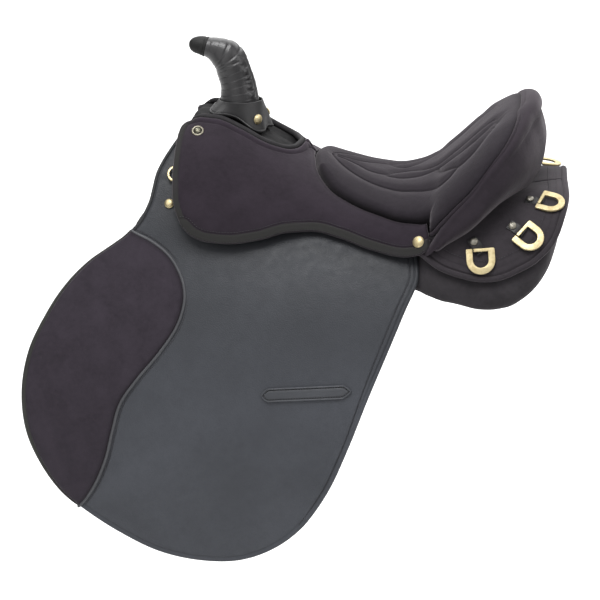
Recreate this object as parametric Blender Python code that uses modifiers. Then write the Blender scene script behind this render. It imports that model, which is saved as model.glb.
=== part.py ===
"""Trail saddle with a wrapped horn: tree, padded seat, jockeys, flaps and strap hardware.

Frame: +X to the rear, +Y to the off side, +Z up, metres.  The origin is on the
centre plane, at the top of the animal's back in the middle of the gullet channel.
"""
import bpy
import bmesh
import numpy as np
from math import pi, sin, cos
from mathutils import Matrix, Vector

# ---------------------------------------------------------------- dimensions
LEATHER = 0.005          # jockeys, flaps and skirts
GAP = 0.0004             # clearance between pieces that touch
HALF_CHANNEL = 0.032     # half width of the gullet channel
CUSHION_DEPTH = 0.014    # seat foam under the leather line
CUSHION_CROWN = 0.007    # seat foam above the leather line
TREE_DEPTH = 0.0205      # tree shell under the leather line
TREE_WALL = 0.008
FLAP_GAP = 0.004         # half gap at the flap's fold line
BILLET_WIDTH = 0.025
BILLET_THICK = 0.004
DEE_WIDTH = 0.0364
DEE_BAND = 0.0085
DEE_THICK = 0.003
DEE_SIDE = 0.0130        # straight side of a dee, from the bar to its arc
BAR = 0.0016             # half width of a dee's bar

# Crest of the saddle: X, Z
CREST = [(-.213, .150), (-.19, .154), (-.166, .154), (-.134, .143), (-.10, .124),
         (-.077, .111), (-.056, .100), (-.036, .0925), (0, .0780), (.04, .0665),
         (.075, .0630), (.10, .0675), (.13, .0810), (.155, .1025), (.18, .1285),
         (.20, .147), (.22, .161), (.235, .169), (.252, .1745)]
# Lower edge of the jockeys, then the cantle rim: X, half width, Z
EDGE = [(-.213, .160, .016), (-.19, .165, .009), (-.16, .166, .006), (-.13, .163, .005),
        (-.093, .153, .009), (-.058, .142, .017), (-.026, .136, .018), (.007, .141, .012),
        (.048, .152, .001), (.087, .161, -.005), (.110, .166, -.001), (.126, .168, .010),
        (.140, .168, .033), (.153, .166, .051), (.176, .162, .078), (.197, .150, .107),
        (.222, .127, .134), (.235, .098, .152), (.243, .065, .1660), (.252, .0, .1745)]
# Fullness of the section: X, flat top as a share of the half width
FLAT = [(-.2, .50), (-.1, .46), (-.03, .42), (.05, .50), (.12, .60), (.2, .62), (.25, .6)]
# Fullness of the section at its lower edge: X, inset, rise
TUCK = [(-.2, .016, .062), (-.1, .018, .052), (-.03, .022, .044), (.05, .022, .048),
        (.12, .012, .038), (.16, .010, .030), (.2, .008, .022), (.25, .003, .004)]
# U-shaped opening round the horn: X, share of the half section
RIM = [(-.200, .225), (-.186, .207), (-.167, .213), (-.135, .230), (-.101, .250),
       (-.076, .225), (-.062, .150), (-.0565, .06), (-.0555, .005)]
# Seam between seat and jockey: X, share
SEAM = [(-.0375, .005), (-.0365, .08), (-.034, .18), (-.030, .31), (-.019, .455),
        (-.003, .560), (.021, .615), (.049, .640), (.076, .652), (.098, .658), (.118, .685)]
# Front edge of the jockey: X, share
FRONT = [(-.200, .225), (-.207, .35), (-.211, .505), (-.210, .665), (-.206, .81),
         (-.193, .925)]
# Lower edge of the jockey: X, share
LOWER = [(-.193, .925), (-.180, .970), (-.161, .993), (-.130, 1.0), (-.09, 1.0), (-.058, 1.0),
         (-.026, 1.0), (.007, 1.0), (.048, 1.0), (.087, 1.0), (.110, 1.0), (.125, .985)]
# Flap section: half width, Z
FLAP_SECTION = [(.045, .088), (.065, .069), (.085, .050), (.105, .031), (.125, .012),
                (.145, -.008), (.163, -.030), (.182, -.060), (.199, -.095), (.215, -.140),
                (.228, -.190), (.236, -.250), (.240, -.320), (.241, -.440)]
# The same at the pommel, where the flap rides over the panel's front
FLAP_FRONT = [(.088, .100), (.108, .075), (.125, .050), (.142, .020), (.155, -.010),
              (.168, -.035), (.189, -.075), (.2085, -.120), (.2155, -.142), (.228, -.190),
              (.236, -.250), (.240, -.320), (.241, -.440)]
# Flap pattern: front edge from the fold down, bottom, rear edge from the fold down (X, Z)
FLAP_FRONT_EDGE = [(-.2725, .0045), (-.2800, -.0060), (-.3080, -.0240), (-.3370, -.0525), (-.3650, -.0890),
                   (-.3865, -.1325), (-.3946, -.1831), (-.3890, -.2356), (-.3700, -.2812),
                   (-.3450, -.3172)]
FLAP_BOTTOM = [(-.3450, -.3172), (-.3165, -.3410), (-.2700, -.3712), (-.2172, -.3960),
               (-.163, -.406), (-.1097, -.4028), (-.0633, -.3827), (-.024, -.3476)]
FLAP_REAR_EDGE = [(.1115, -.0345), (.097, -.0694), (.0790, -.1144), (.0545, -.1761),
                  (.0305, -.2417), (.0060, -.2997), (-.024, -.3476)]
# Knee pad: S-shaped rear edge (X, Z)
KNEE_EDGE = [(-.2600, .0015), (-.2330, -.0040), (-.2085, -.0190), (-.191, -.0430),
             (-.1864, -.0654), (-.1935, -.0949), (-.2154, -.1283), (-.243, -.1615),
             (-.2647, -.1929), (-.2753, -.2301), (-.2837, -.2643), (-.2963, -.2966),
             (-.3120, -.3260)]
# Fold line of the flap, also its hinge axis
FOLD_FRONT = (-.262, .141, .014)
FOLD_REAR = (.115, .158, -.030)
# Rim of the rear skirt and the foot of the cantle: X, half width
SKIRT_RIM = [(.1300, .1700), (.144, .175), (.189, .178), (.235, .172), (.259, .164),
             (.279, .148), (.289, .122), (.2945, .085), (.296, .045), (.296, .0)]
CANTLE_FOOT = [(.1335, .1620), (.148, .157), (.172, .147), (.205, .118), (.232, .080),
               (.246, .040), (.250, .0)]
# Wrapped horn: X, Z, radius
HORN = [(-.1405, .150, .0262), (-.1415, .165, .0255), (-.1435, .180, .0238), (-.1475, .195, .0228),
        (-.1535, .209, .0222), (-.1625, .2195, .0198), (-.1735, .2265, .0160), (-.184, .2300, .0132),
        (-.193, .2322, .0114)]
HORN_TIP = [(-.2000, .2330, .0098), (-.2055, .2334, .0072), (-.2083, .2336, .0036), (-.2092, .2336, .0)]
# Dees on the rear skirt: bar centre (X, half width), tip (X, half width), screw (X, half width)
REAR_DEES = [((.1887, .1588), (.1920, .1730), (.1815, .1535)),
             ((.2396, .1430), (.2652, .1547), (.2290, .1385)),
             ((.2630, .1005), (.2939, .1100), (.2500, .0985))]

# ---------------------------------------------------------------- start clean
for ob in list(bpy.data.objects):
    bpy.data.objects.remove(ob, do_unlink=True)
for col in list(bpy.data.collections):
    bpy.data.collections.remove(col)
SADDLE = bpy.data.collections.new("trail_saddle")
bpy.context.scene.collection.children.link(SADDLE)


def material(name, colour, rough, metal=0.0):
    m = bpy.data.materials.new(name)
    m.use_nodes = True
    b = m.node_tree.nodes["Principled BSDF"]
    b.inputs["Base Color"].default_value = (*colour, 1)
    b.inputs["Roughness"].default_value = rough
    b.inputs["Metallic"].default_value = metal
    return m


SUEDE = (.026, .022, .028)
SMOOTH = (.040, .046, .055)
FINISH = {
    "suede": (SUEDE, .9, 0), "leather": (SMOOTH, .55, 0), "binding": ((.022, .021, .022), .6, 0),
    "gloss_leather": ((.010, .010, .011), .22, 0), "brass": ((.78, .56, .24), .28, 1),
    "old_brass": ((.30, .24, .15), .4, 1), "steel": ((.55, .56, .58), .3, 1),
    "tree": ((.09, .09, .09), .5, 0), "lining": ((.03, .03, .033), .85, 0),
}


def add(name, mesh, finish):
    ob = bpy.data.objects.new(name, mesh)
    SADDLE.objects.link(ob)
    colour, rough, metal = FINISH[finish]
    mesh.materials.clear()
    mesh.materials.append(material(name, colour, rough, metal))
    return ob


# ---------------------------------------------------------------- curves and surfaces
def tangents(x, y):
    """Slopes of a monotone curve through the stations, which never overshoots them."""
    h, d = np.diff(x), np.diff(y) / np.diff(x)
    m = np.zeros(len(x))
    m[0], m[-1] = d[0], d[-1]
    for i in range(1, len(x) - 1):
        if d[i - 1] * d[i] > 0:
            a, b = 2 * h[i] + h[i - 1], h[i] + 2 * h[i - 1]
            m[i] = (a + b) / (a / d[i - 1] + b / d[i])
    return m


class Station:
    """A smooth function through stations (x, y), straight beyond its ends."""

    def __init__(self, pairs):
        pairs = sorted(pairs)
        self.x = np.array([p[0] for p in pairs], float)
        self.y = np.array([p[1] for p in pairs], float)
        self.m = tangents(self.x, self.y)

    def __call__(self, v):
        x, y, m = self.x, self.y, self.m
        if v <= x[0]:
            return float(y[0] + m[0] * (v - x[0]))
        if v >= x[-1]:
            return float(y[-1] + m[-1] * (v - x[-1]))
        i = int(np.searchsorted(x, v)) - 1
        h = x[i + 1] - x[i]
        t = (v - x[i]) / h
        return float((2 * t ** 3 - 3 * t ** 2 + 1) * y[i] + (t ** 3 - 2 * t ** 2 + t) * h * m[i]
                     + (3 * t ** 2 - 2 * t ** 3) * y[i + 1] + (t ** 3 - t ** 2) * h * m[i + 1])


class Path:
    """A smooth curve through points, read by its share of the length."""

    def __init__(self, pts, fine=16):
        p = np.array(pts, float)
        s = np.concatenate([[0], np.cumsum(np.linalg.norm(np.diff(p, axis=0), axis=1) ** .5)])
        m = np.zeros_like(p)
        for i in range(1, len(p) - 1):
            a, b = s[i] - s[i - 1], s[i + 1] - s[i]
            da, db = (p[i] - p[i - 1]) / a, (p[i + 1] - p[i]) / b
            m[i] = (da * b + db * a) / (a + b)
        m[0] = 2 * (p[1] - p[0]) / (s[1] - s[0]) - m[1] if len(p) > 2 else (p[1] - p[0]) / s[1]
        m[-1] = 2 * (p[-1] - p[-2]) / (s[-1] - s[-2]) - m[-2] if len(p) > 2 else m[0]
        out = []
        for i in range(len(p) - 1):
            h = s[i + 1] - s[i]
            for k in range(fine):
                t = k / fine
                out.append((2 * t ** 3 - 3 * t ** 2 + 1) * p[i] + (t ** 3 - 2 * t ** 2 + t) * h * m[i]
                           + (3 * t ** 2 - 2 * t ** 3) * p[i + 1] + (t ** 3 - t ** 2) * h * m[i + 1])
        out.append(p[-1])
        self.p = np.array(out)
        self.s = np.concatenate([[0], np.cumsum(np.linalg.norm(np.diff(self.p, axis=0), axis=1))])
        self.length = float(self.s[-1])

    def __call__(self, t):
        v = min(max(t, 0), 1) * self.length
        return np.array([np.interp(v, self.s, self.p[:, k]) for k in range(self.p.shape[1])])

    def points(self, n):
        return [self(k / (n - 1)) for k in range(n)]


CREST_Z = Station(CREST)
EDGE_Y = Station([(a, b) for a, b, c in EDGE])
EDGE_Z = Station([(a, c) for a, b, c in EDGE])
FLAT_K = Station(FLAT)
TUCK_Y = Station([(a, b) for a, b, c in TUCK])
TUCK_Z = Station([(a, c) for a, b, c in TUCK])
FLAP_Y = Station([(z, y) for y, z in FLAP_SECTION])
FRONT_Y = Station([(z, y) for y, z in FLAP_FRONT])


def section(x, t):
    """Half width, Z and outward normal of the leather line at station x, share t."""
    z0, ye, ze = CREST_Z(x), max(EDGE_Y(x), 1e-4), EDGE_Z(x)
    a, dy, dz = FLAT_K(x), TUCK_Y(x), TUCK_Z(x)
    p = [(0, z0), (a * ye, z0), (ye - dy, ze + dz), (ye, ze)]
    c = [(1 - t) ** 3, 3 * t * (1 - t) ** 2, 3 * t * t * (1 - t), t ** 3]
    e = [3 * (1 - t) ** 2, 6 * t * (1 - t), 3 * t * t]
    y, z = (sum(c[i] * p[i][k] for i in range(4)) for k in (0, 1))
    ty, tz = (sum(e[i] * (p[i + 1][k] - p[i][k]) for i in range(3)) for k in (0, 1))
    return y, z, ty, tz


def top(x, t, d=0.0, side=-1):
    """Point of the saddle's upper leather line, moved out along its normal by d."""
    s = side if t >= 0 else -side
    t = abs(t)
    y, z, ty, tz = section(x, t)
    h = 0.002
    ya, za, _, _ = section(x - h, t)
    yb, zb, _, _ = section(x + h, t)
    u = np.array([2 * h, yb - ya, zb - za])
    v = np.array([0, ty, tz])
    n = np.cross(u, v)
    n = n / np.linalg.norm(n)
    if n[2] < 0 and t < .9:
        n = -n
    elif n[1] < 0 and t >= .9:
        n = -n
    q = np.array([x, y, z]) + n * d
    return Vector((q[0], s * q[1], q[2]))


def normal_of(f, a, b, out):
    """Unit normal of the surface f(a, b), on the side that out points to."""
    h = 0.001
    n = (f(a + h, b) - f(a - h, b)).cross(f(a, b + h) - f(a, b - h)).normalized()
    return n if n.dot(Vector(out)) > 0 else -n


def blend(a, b, x):
    t = min(max((x - a) / (b - a), 0), 1)
    return t * t * (3 - 2 * t)


def flap_half(x, z):
    w = 1 - blend(-.19, -.075, x)
    return FLAP_Y(z) + w * (FRONT_Y(z) - FLAP_Y(z))


def flap(x, z, d=0.0, side=-1):
    """Point of the flap's middle surface, moved out along its normal by d."""
    y = flap_half(x, z)
    h = .002
    gx = (flap_half(x + h, z) - flap_half(x - h, z)) / (2 * h)
    gz = (flap_half(x, z + h) - flap_half(x, z - h)) / (2 * h)
    n = Vector((-gx, 1, -gz)).normalized()
    return Vector((x + n.x * d, side * (y + n.y * d), z + n.z * d))


def skirt_z(y):
    return .064 - .096 * (abs(y) / .178) ** 4.4


def skirt(x, y, d=0.0):
    """Point of the rear skirt's upper face, moved out along its normal by d."""
    h = .001
    gz = (skirt_z(y + h) - skirt_z(y - h)) / (2 * h)
    n = Vector((0, -gz, 1)).normalized()
    return Vector((x, y, skirt_z(y))) + n * d


def back_z(y):
    """Section of the animal's back that the panels rest on."""
    return -2.4 * y * y


def coons(low, high, left, right):
    """Patch between four edge curves that share their corners; u runs along low and high."""
    c00, c10, c01, c11 = low(0), low(1), high(0), high(1)

    def f(u, v):
        return ((1 - v) * low(u) + v * high(u) + (1 - u) * left(v) + u * right(v)
                - ((1 - u) * (1 - v) * c00 + u * (1 - v) * c10 + (1 - u) * v * c01 + u * v * c11))
    return f


# ---------------------------------------------------------------- builders
def surface(name, nu, nv, f, thick, finish, offset=-1, us=None, vs=None):
    """Sheet of leather: an open grid laid on f(u, v), with a thickness."""
    bm = bmesh.new()
    bmesh.ops.create_grid(bm, x_segments=nu, y_segments=nv, size=.5)
    for v in bm.verts:
        a, b = v.co.x + .5, v.co.y + .5
        a = us[round(a * nu)] if us else a
        b = vs[round(b * nv)] if vs else b
        v.co = f(a, b)
    me = bpy.data.meshes.new(name)
    bm.to_mesh(me)
    bm.free()
    me.shade_smooth()
    ob = add(name, me, finish)
    m = ob.modifiers.new("thickness", "SOLIDIFY")
    m.thickness = thick
    m.offset = offset
    m.use_even_offset = True
    return ob


def slab_mesh(name, nu, nv, f, us=None, vs=None, weld=0.0):
    """Padded body between two faces: f(u, v, 0) is one face and f(u, v, 1) the other."""
    bm = bmesh.new()
    bmesh.ops.create_grid(bm, x_segments=nu, y_segments=nv, size=.5)
    ext = bmesh.ops.extrude_face_region(bm, geom=bm.faces[:], use_keep_orig=True)
    for g in ext["geom"]:
        if isinstance(g, bmesh.types.BMVert):
            g.co.z = 1
    for v in bm.verts:
        a, b, w = v.co.x + .5, v.co.y + .5, v.co.z
        a = us[round(a * nu)] if us else a
        b = vs[round(b * nv)] if vs else b
        v.co = f(a, b, w)
    if weld:
        bmesh.ops.remove_doubles(bm, verts=bm.verts[:], dist=weld)
    bmesh.ops.recalc_face_normals(bm, faces=bm.faces[:])
    me = bpy.data.meshes.new(name)
    bm.to_mesh(me)
    bm.free()
    me.shade_smooth()
    return me


def slab(name, nu, nv, f, finish, **kw):
    return add(name, slab_mesh(name, nu, nv, f, **kw), finish)


def tube(name, pts, radius, finish, sides=1, radii=None):
    """Cord, piping or wire along pts, with filled ends, turned into a mesh."""
    cu = bpy.data.curves.new(name, "CURVE")
    cu.dimensions = "3D"
    cu.bevel_depth = radius
    cu.bevel_resolution = sides
    cu.use_fill_caps = True
    sp = cu.splines.new("POLY")
    sp.points.add(len(pts) - 1)
    for i, p in enumerate(pts):
        sp.points[i].co = (*p, 1)
        sp.points[i].radius = radii[i] / radius if radii else 1
    ob = bpy.data.objects.new(name + "_curve", cu)
    SADDLE.objects.link(ob)
    deps = bpy.context.evaluated_depsgraph_get()
    me = bpy.data.meshes.new_from_object(ob.evaluated_get(deps))
    bm = bmesh.new()
    bm.from_mesh(me)
    bmesh.ops.remove_doubles(bm, verts=bm.verts[:], dist=1e-6)
    bmesh.ops.recalc_face_normals(bm, faces=bm.faces[:])
    bm.to_mesh(me)
    bm.free()
    bpy.data.objects.remove(ob, do_unlink=True)
    me.name = name
    me.shade_smooth()
    return add(name, me, finish)


def lathe(bm, profile, sides, place):
    """Turn profile (radius, height) round the height axis and put it at place."""
    tmp = bmesh.new()
    n = len(profile) - 1
    bmesh.ops.create_grid(tmp, x_segments=sides, y_segments=n, size=.5)
    for v in tmp.verts:
        a = (v.co.x + .5) * 2 * pi
        r, z = profile[round((v.co.y + .5) * n)]
        v.co = Vector((r * cos(a), r * sin(a), z))
    bmesh.ops.remove_doubles(tmp, verts=tmp.verts[:], dist=1e-6)
    bmesh.ops.recalc_face_normals(tmp, faces=tmp.faces[:])
    me = bpy.data.meshes.new("turned")
    tmp.to_mesh(me)
    tmp.free()
    me.transform(place)
    bm.from_mesh(me)
    bpy.data.meshes.remove(me)


def piece(name, make, finish):
    """A small turned solid in an object of its own."""
    bm = bmesh.new()
    make(bm)
    me = bpy.data.meshes.new(name)
    bm.to_mesh(me)
    bm.free()
    me.shade_smooth()
    me.set_sharp_from_angle(angle=.6)
    return add(name, me, finish)


def turned_pair(name, place, profile, sides):
    """A turned piece on the near side and its copy on the off side."""
    left = piece(name + "_left", lambda bm: lathe(bm, profile, sides, place), "brass" if "stud" in name else "old_brass")
    other_side(left, name + "_right")


def box(bm, size, place):
    """A block of the given size, centred, put at place."""
    bmesh.ops.create_cube(bm, size=1, matrix=place @ Matrix.Diagonal((*size, 1)))


def frame(origin, n, along):
    """Placement with local Z on n and local Y close to along."""
    n = Vector(n).normalized()
    b = Vector(along)
    b = (b - n * b.dot(n)).normalized()
    a = b.cross(n)
    m = Matrix((a, b, n)).transposed().to_4x4()
    m.translation = origin
    return m


def flip(p):
    return Vector((p[0], -p[1], p[2]))


def other_side(ob, name):
    """The off-side copy of a near-side piece."""
    me = ob.data.copy()
    me.name = name
    me.transform(Matrix.Diagonal((1, -1, 1, 1)))
    me.flip_normals()
    new = bpy.data.objects.new(name, me)
    new.location = flip(ob.location)
    SADDLE.objects.link(new)
    m = me.materials[0].copy()
    m.name = name
    me.materials.clear()
    me.materials.append(m)
    for mod in ob.modifiers:
        c = new.modifiers.new(mod.name, mod.type)
        c.thickness, c.offset, c.use_even_offset = mod.thickness, mod.offset, mod.use_even_offset
    return new


def origin_to(ob, p):
    """Put the object's origin at p and leave the piece where it is."""
    ob.data.transform(Matrix.Translation(-Vector(p)))
    ob.location = Vector(p)


# ---------------------------------------------------------------- seat
front_cut = Path([(-.0362, 0), (-.0352, .08), (-.0327, .18), (-.0287, .30)])
side_seam = Path([(-.0287, .300), (-.0178, .442), (-.0020, .547), (.0215, .603), (.049, .628),
                  (.076, .640), (.098, .645), (.1215, .672), (.1245, .75), (.127, .845),
                  (.141, .882), (.157, .897), (.178, .900), (.196, .885)])
rear_cut = Path([(.196, .885), (.2090, .83), (.2200, .72), (.2270, .52), (.2308, .25), (.2318, .0)])
front_all = Path([(x, -t) for x, t in reversed(front_cut.p[1:].tolist())] + front_cut.p.tolist(), 1)
rear_all = Path([(x, -t) for x, t in reversed(rear_cut.p[:-1].tolist()[::-1])] + rear_cut.p.tolist()[::-1], 1)
near_seam = Path(side_seam.p.tolist(), 1)
seat_map = coons(lambda u: np.array([front_all(u)[0], front_all(u)[1]]),
                 lambda u: np.array([rear_all(u)[0], rear_all(u)[1]]),
                 lambda v: np.array([near_seam(v)[0], -near_seam(v)[1]]),
                 lambda v: near_seam(v))


def seat_point(u, v, w):
    x, t = seat_map(u, v)
    e = min(1, min(u, 1 - u) * 5) * min(1, min(v, 1 - v) * 7)
    crown = CUSHION_CROWN * (1 - (1 - e) ** 3)
    return top(x, t, crown if w < .5 else -CUSHION_DEPTH)


slab("seat_cushion", 12, 15, seat_point, "suede")

# ---------------------------------------------------------------- jockeys
jockey_top = [*RIM, (-.0465, .005), *SEAM]
jx = [p[0] for p in jockey_top]
top_share = Station(jockey_top)
front_edge, lower_edge = Path(FRONT), Path(LOWER)
rear_edge = Path([(.118, .685), (.1205, .78), (.1235, .90), (.125, .985)])
lower_u = Station([(0, -.193), (.12, -.150), (.5, -.045), (.88, .090), (1, .125)])
lower_t = Station(LOWER)
jockey_map = coons(lambda u: np.array([jx[0] + (jx[-1] - jx[0]) * u, top_share(jx[0] + (jx[-1] - jx[0]) * u)]),
                   lambda u: np.array([lower_u(u), min(1.0, lower_t(lower_u(u)))]),
                   lambda v: front_edge(v), lambda v: rear_edge(v))
span = jx[-1] - jx[0]
cols = sorted(set([0.0, 1.0] + [round((x - jx[0]) / span, 5) for x in
              [-.186, -.170, -.152, -.135, -.118, -.101, -.087, -.076, -.0675, -.0620, -.0585, -.0560, -.0465,
               -.0375, -.0363, -.034, -.030, -.0245, -.017, -.003, .012, .030, .049, .068, .087, .104]]))


def jockey_point(d):
    def f(u, v):
        x, t = jockey_map(u, v)
        return top(x, max(t, .005), d)
    return f


left = surface("jockey_left", len(cols) - 1, 6, jockey_point(0), LEATHER, "suede", offset=1, us=cols)
other_side(left, "jockey_right")
# rolled edge of the U-shaped opening, one cord from corner to corner
rim_x = [jx[0] + span * c for c in cols if jx[0] + span * c < -.0559]
edge = [top(x, top_share(x), -.0028) for x in rim_x] + [top(-.0555, .005, -.0028)]
half = []
for i, x in enumerate(rim_x):
    tang = (edge[i + 1] - edge[max(0, i - 1)]).normalized()
    n = (top(x, top_share(x), .001) - top(x, top_share(x), 0)).normalized()
    inward = tang.cross(n)
    inward = inward if inward.dot(Vector((-.02, .06, 0))) > 0 else -inward
    half.append(edge[i] + inward * .0037)
half = [p for p in half if p.y < -.0015]
mid = Vector((half[-1].x + .0008, 0, half[-1].z))
tube("pommel_rim_binding", half + [mid] + [flip(p) for p in reversed(half)], .0024, "binding", 1)

# ---------------------------------------------------------------- pommel and horn
cover_t = Station([(-.203, .25), (-.186, .245), (-.135, .27), (-.101, .285), (-.076, .26), (-.062, .20), (-.052, .14)])
slab("pommel_cover", 10, 7, lambda u, v, w: top(-.203 + .151 * v, (2 * u - 1) * cover_t(-.203 + .151 * v),
                                                 -.0088 if w < .5 else -.0150), "gloss_leather")


def facing(u, v, w):
    a = (2 * u - 1)
    outer = top(-.207, abs(a) * .60, -.026)
    ang = a * pi / 2
    inner = Vector((0, .046 * abs(sin(ang)), .040 + .058 * cos(ang)))
    y = (outer.y * -1) * (1 - v) + inner.y * v
    z = outer.z * (1 - v) + inner.z * v
    return Vector((-.212 + .004 * w, y * (1 if a > 0 else -1), z))


slab("pommel_facing", 16, 1, facing, "leather")

horn_path = [Vector((x, 0, z)) for x, z, r in HORN]
tube("horn_core", horn_path, .02, "tree", 2, [r - .0062 for x, z, r in HORN])
# the wrapping, a sleeve open at its foot and closed at the tip
sleeve_out = Path([(x, z, r) for x, z, r in HORN + HORN_TIP], 8)


def sleeve(u, v, w):
    if w > .5:
        v = v * .94
    x, z, r = sleeve_out(v)
    x1, z1, _ = sleeve_out(min(1, v + .02))
    x0, z0, _ = sleeve_out(max(0, v - .02))
    t = Vector((x1 - x0, 0, z1 - z0)).normalized()
    side = Vector((0, 1, 0))
    b = t.cross(side)
    if w > .5:
        r = 0 if v > .9399 else max(r - .0042, .002)
    a = 2 * pi * u
    return Vector((x, 0, z)) + side * (r * cos(a)) + b * (r * sin(a))


COLLAR_TOP = .1600
TABS = (.62, -.87)       # direction of the two rear tabs, in radians from +X
RIVETS = (.80, -.87)     # direction of their rivets


def collar(u, v, w):
    a = 2 * pi * u
    c, s = cos(a), sin(a)
    away = lambda b: abs(np.arctan2(sin(a - b), cos(a - b)))
    tab = sum(np.exp(-(away(b) / .42) ** 3) for b in TABS)
    lobe = sum(np.exp(-(away(b) / .32) ** 2) for b in (-2.62, 2.62))
    reach = .0350 + .0145 * tab + .0095 * lobe
    r = .0272 + (reach - .0272) * v
    x = -.1400 + r * c
    y = r * s
    t = min(.25, abs(y) / max(.2, .01))
    foot = top(x, t, -.0038).z
    z = COLLAR_TOP + (foot - COLLAR_TOP) * v
    out = Vector((c * .6, s * .6, .6)).normalized() * (.0028 if w > .5 else 0)
    return Vector((x, y, z)) + out


def ring_body(name, nu, nv, f, finish, poles=False):
    """A sleeve with an open middle: rings of points on two walls, joined at both ends, or a
    cup whose walls each close on a pole at v = 1."""
    prof = [(k / nv, 0) for k in range(nv, -1, -1)] + [(k / nv, 1) for k in range(nv + 1)]
    if not poles:
        prof.append(prof[0])
    n = len(prof) - 1
    bm = bmesh.new()
    bmesh.ops.create_grid(bm, x_segments=nu, y_segments=n, size=.5)
    for v in bm.verts:
        q = prof[round((v.co.y + .5) * n)]
        v.co = f((v.co.x + .5) % 1.0, q[0], q[1])
    bmesh.ops.remove_doubles(bm, verts=bm.verts[:], dist=1e-6)
    bmesh.ops.recalc_face_normals(bm, faces=bm.faces[:])
    me = bpy.data.meshes.new(name)
    bm.to_mesh(me)
    bm.free()
    me.shade_smooth()
    return add(name, me, finish)


ring_body("horn_wrap", 14, 10, sleeve, "gloss_leather", poles=True)
ring_body("horn_collar", 32, 1, collar, "gloss_leather")

dome = [(0, 0), (.0064, 0), (.0066, .0008), (.0056, .0022), (.0032, .0033), (0, .0037)]


def rivet(side):
    def make(bm):
        tab = RIVETS[0] if side > 0 else RIVETS[1]
        p = collar(tab / (2 * pi) % 1.0, .65, 1)
        p2 = collar(tab / (2 * pi) % 1.0, .85, 1)
        along = p2 - p
        n = Vector((0, side, 0)).cross(along)
        n = n if n.z > 0 else -n
        n = (n + Vector((.35, .35 * side, 0))).normalized()
        lathe(bm, dome, 9, frame(p + n * .0026, n, along))
    return make


piece("horn_collar_rivet_left", rivet(-1), "brass")
piece("horn_collar_rivet_right", rivet(1), "brass")

# ---------------------------------------------------------------- tree and steelwork
tree_t = Station([(-.186, .44), (-.12, .46), (-.05, .50), (.05, .50), (.12, .43), (.17, .50), (.205, .54)])
slab("tree", 12, 12, lambda u, v, w: top(-.186 + .391 * v, (2 * u - 1) * tree_t(-.186 + .391 * v),
                                         -TREE_DEPTH - (TREE_WALL if w < .5 else 0)), "tree")
slab("gullet_plate", 12, 1, lambda u, v, w: top(-.178 + .030 * v, (2 * u - 1) * .46,
                                                -.0305 - (.004 if w < .5 else 0)), "steel")

def bar_frame(x=-.108):
    p = top(x, .60, 0)
    n = (top(x, .60, .01) - p).normalized()
    return frame(p, n, top(x + .03, .60, 0) - top(x - .03, .60, 0))


BF = bar_frame()


def joined(name, makers, finish):
    """Blocks joined into one body with Boolean unions."""
    obs = []
    for i, (size, place) in enumerate(makers):
        bm = bmesh.new()
        box(bm, size, place)
        me = bpy.data.meshes.new(name + "_%d" % i)
        bm.to_mesh(me)
        bm.free()
        ob = bpy.data.objects.new(name + "_%d" % i, me)
        SADDLE.objects.link(ob)
        obs.append(ob)
    base = obs[0]
    for tool in obs[1:]:
        m = base.modifiers.new("union", "BOOLEAN")
        m.operation = "UNION"
        m.solver = "EXACT"
        m.object = tool
    deps = bpy.context.evaluated_depsgraph_get()
    me = bpy.data.meshes.new_from_object(base.evaluated_get(deps))
    for ob in obs:
        bpy.data.objects.remove(ob, do_unlink=True)
    me.name = name
    return add(name, me, finish)


left = joined("stirrup_bar_left", [((.026, .084, .003), BF @ Matrix.Translation((0, 0, -.0265))),
                                   ((.012, .064, .005), BF @ Matrix.Translation((0, -.010, -.0105))),
                                   ((.0118, .010, .0152), BF @ Matrix.Translation((0, -.0368, -.0180)))], "steel")
other_side(left, "stirrup_bar_right")
CATCH = BF @ Vector((0, .0385, -.0175))
left = joined("stirrup_catch_left", [((.011, .0060, .0130), BF @ Matrix.Translation((0, .0268, -.0175))),
                                     ((.0108, .0150, .0045), BF @ Matrix.Translation((0, .0310, -.0218)))], "steel")
origin_to(left, CATCH)
other_side(left, "stirrup_catch_right")

# ---------------------------------------------------------------- cantle
rim3 = [(a, -b, c) for a, b, c in [(.1335, .1685, .0225)] + [q for q in EDGE if q[0] > .139]]
rim3 = rim3[:-1] + [(.2505, -.032, .1725), (.2525, 0, .1745)]
near_rim = Path(rim3)
rim_full = Path(rim3 + [(x, -y, z) for x, y, z in reversed(rim3[:-1])])
tube("cantle_roll", [Vector(p) for p in rim_full.points(39)], .0050, "suede", 1)
foot_half = [(x, -y, skirt_z(y) + .0035) for x, y in CANTLE_FOOT]
foot_full = Path(foot_half + [(x, -y, z) for x, y, z in reversed(foot_half[:-1])])


def cantle_back(u, v):
    a, b = Vector(rim_full(u)), Vector(foot_full(u))
    out = Vector((max(a.x - .10, .03), a.y * .9, 0)).normalized()
    a = a + out * .0050 + Vector((0, 0, -.0090))
    mid = sin(pi * v)
    edge = min(1, 6 * min(u, 1 - u))
    return a * (1 - v) + b * v + out * (.013 * mid * edge)


surface("cantle_back", 24, 5, cantle_back, .004, "suede", offset=-1)

# ---------------------------------------------------------------- rear skirt and panels
rim_rear = Path(SKIRT_RIM)
inner_rear = Path([(.1300, .1560), (.146, .150), (.166, .139), (.196, .107), (.221, .070), (.235, .036), (.238, 0)])


def skirt_sheet(u, v):
    a, b = inner_rear(u), rim_rear(u)
    x = a[0] * (1 - v) + b[0] * v
    y = a[1] * (1 - v) + b[1] * v
    return skirt(x, -max(y, .0004))


left = surface("rear_skirt_left", 16, 5, skirt_sheet, .005, "suede", offset=1)
other_side(left, "rear_skirt_right")

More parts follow.
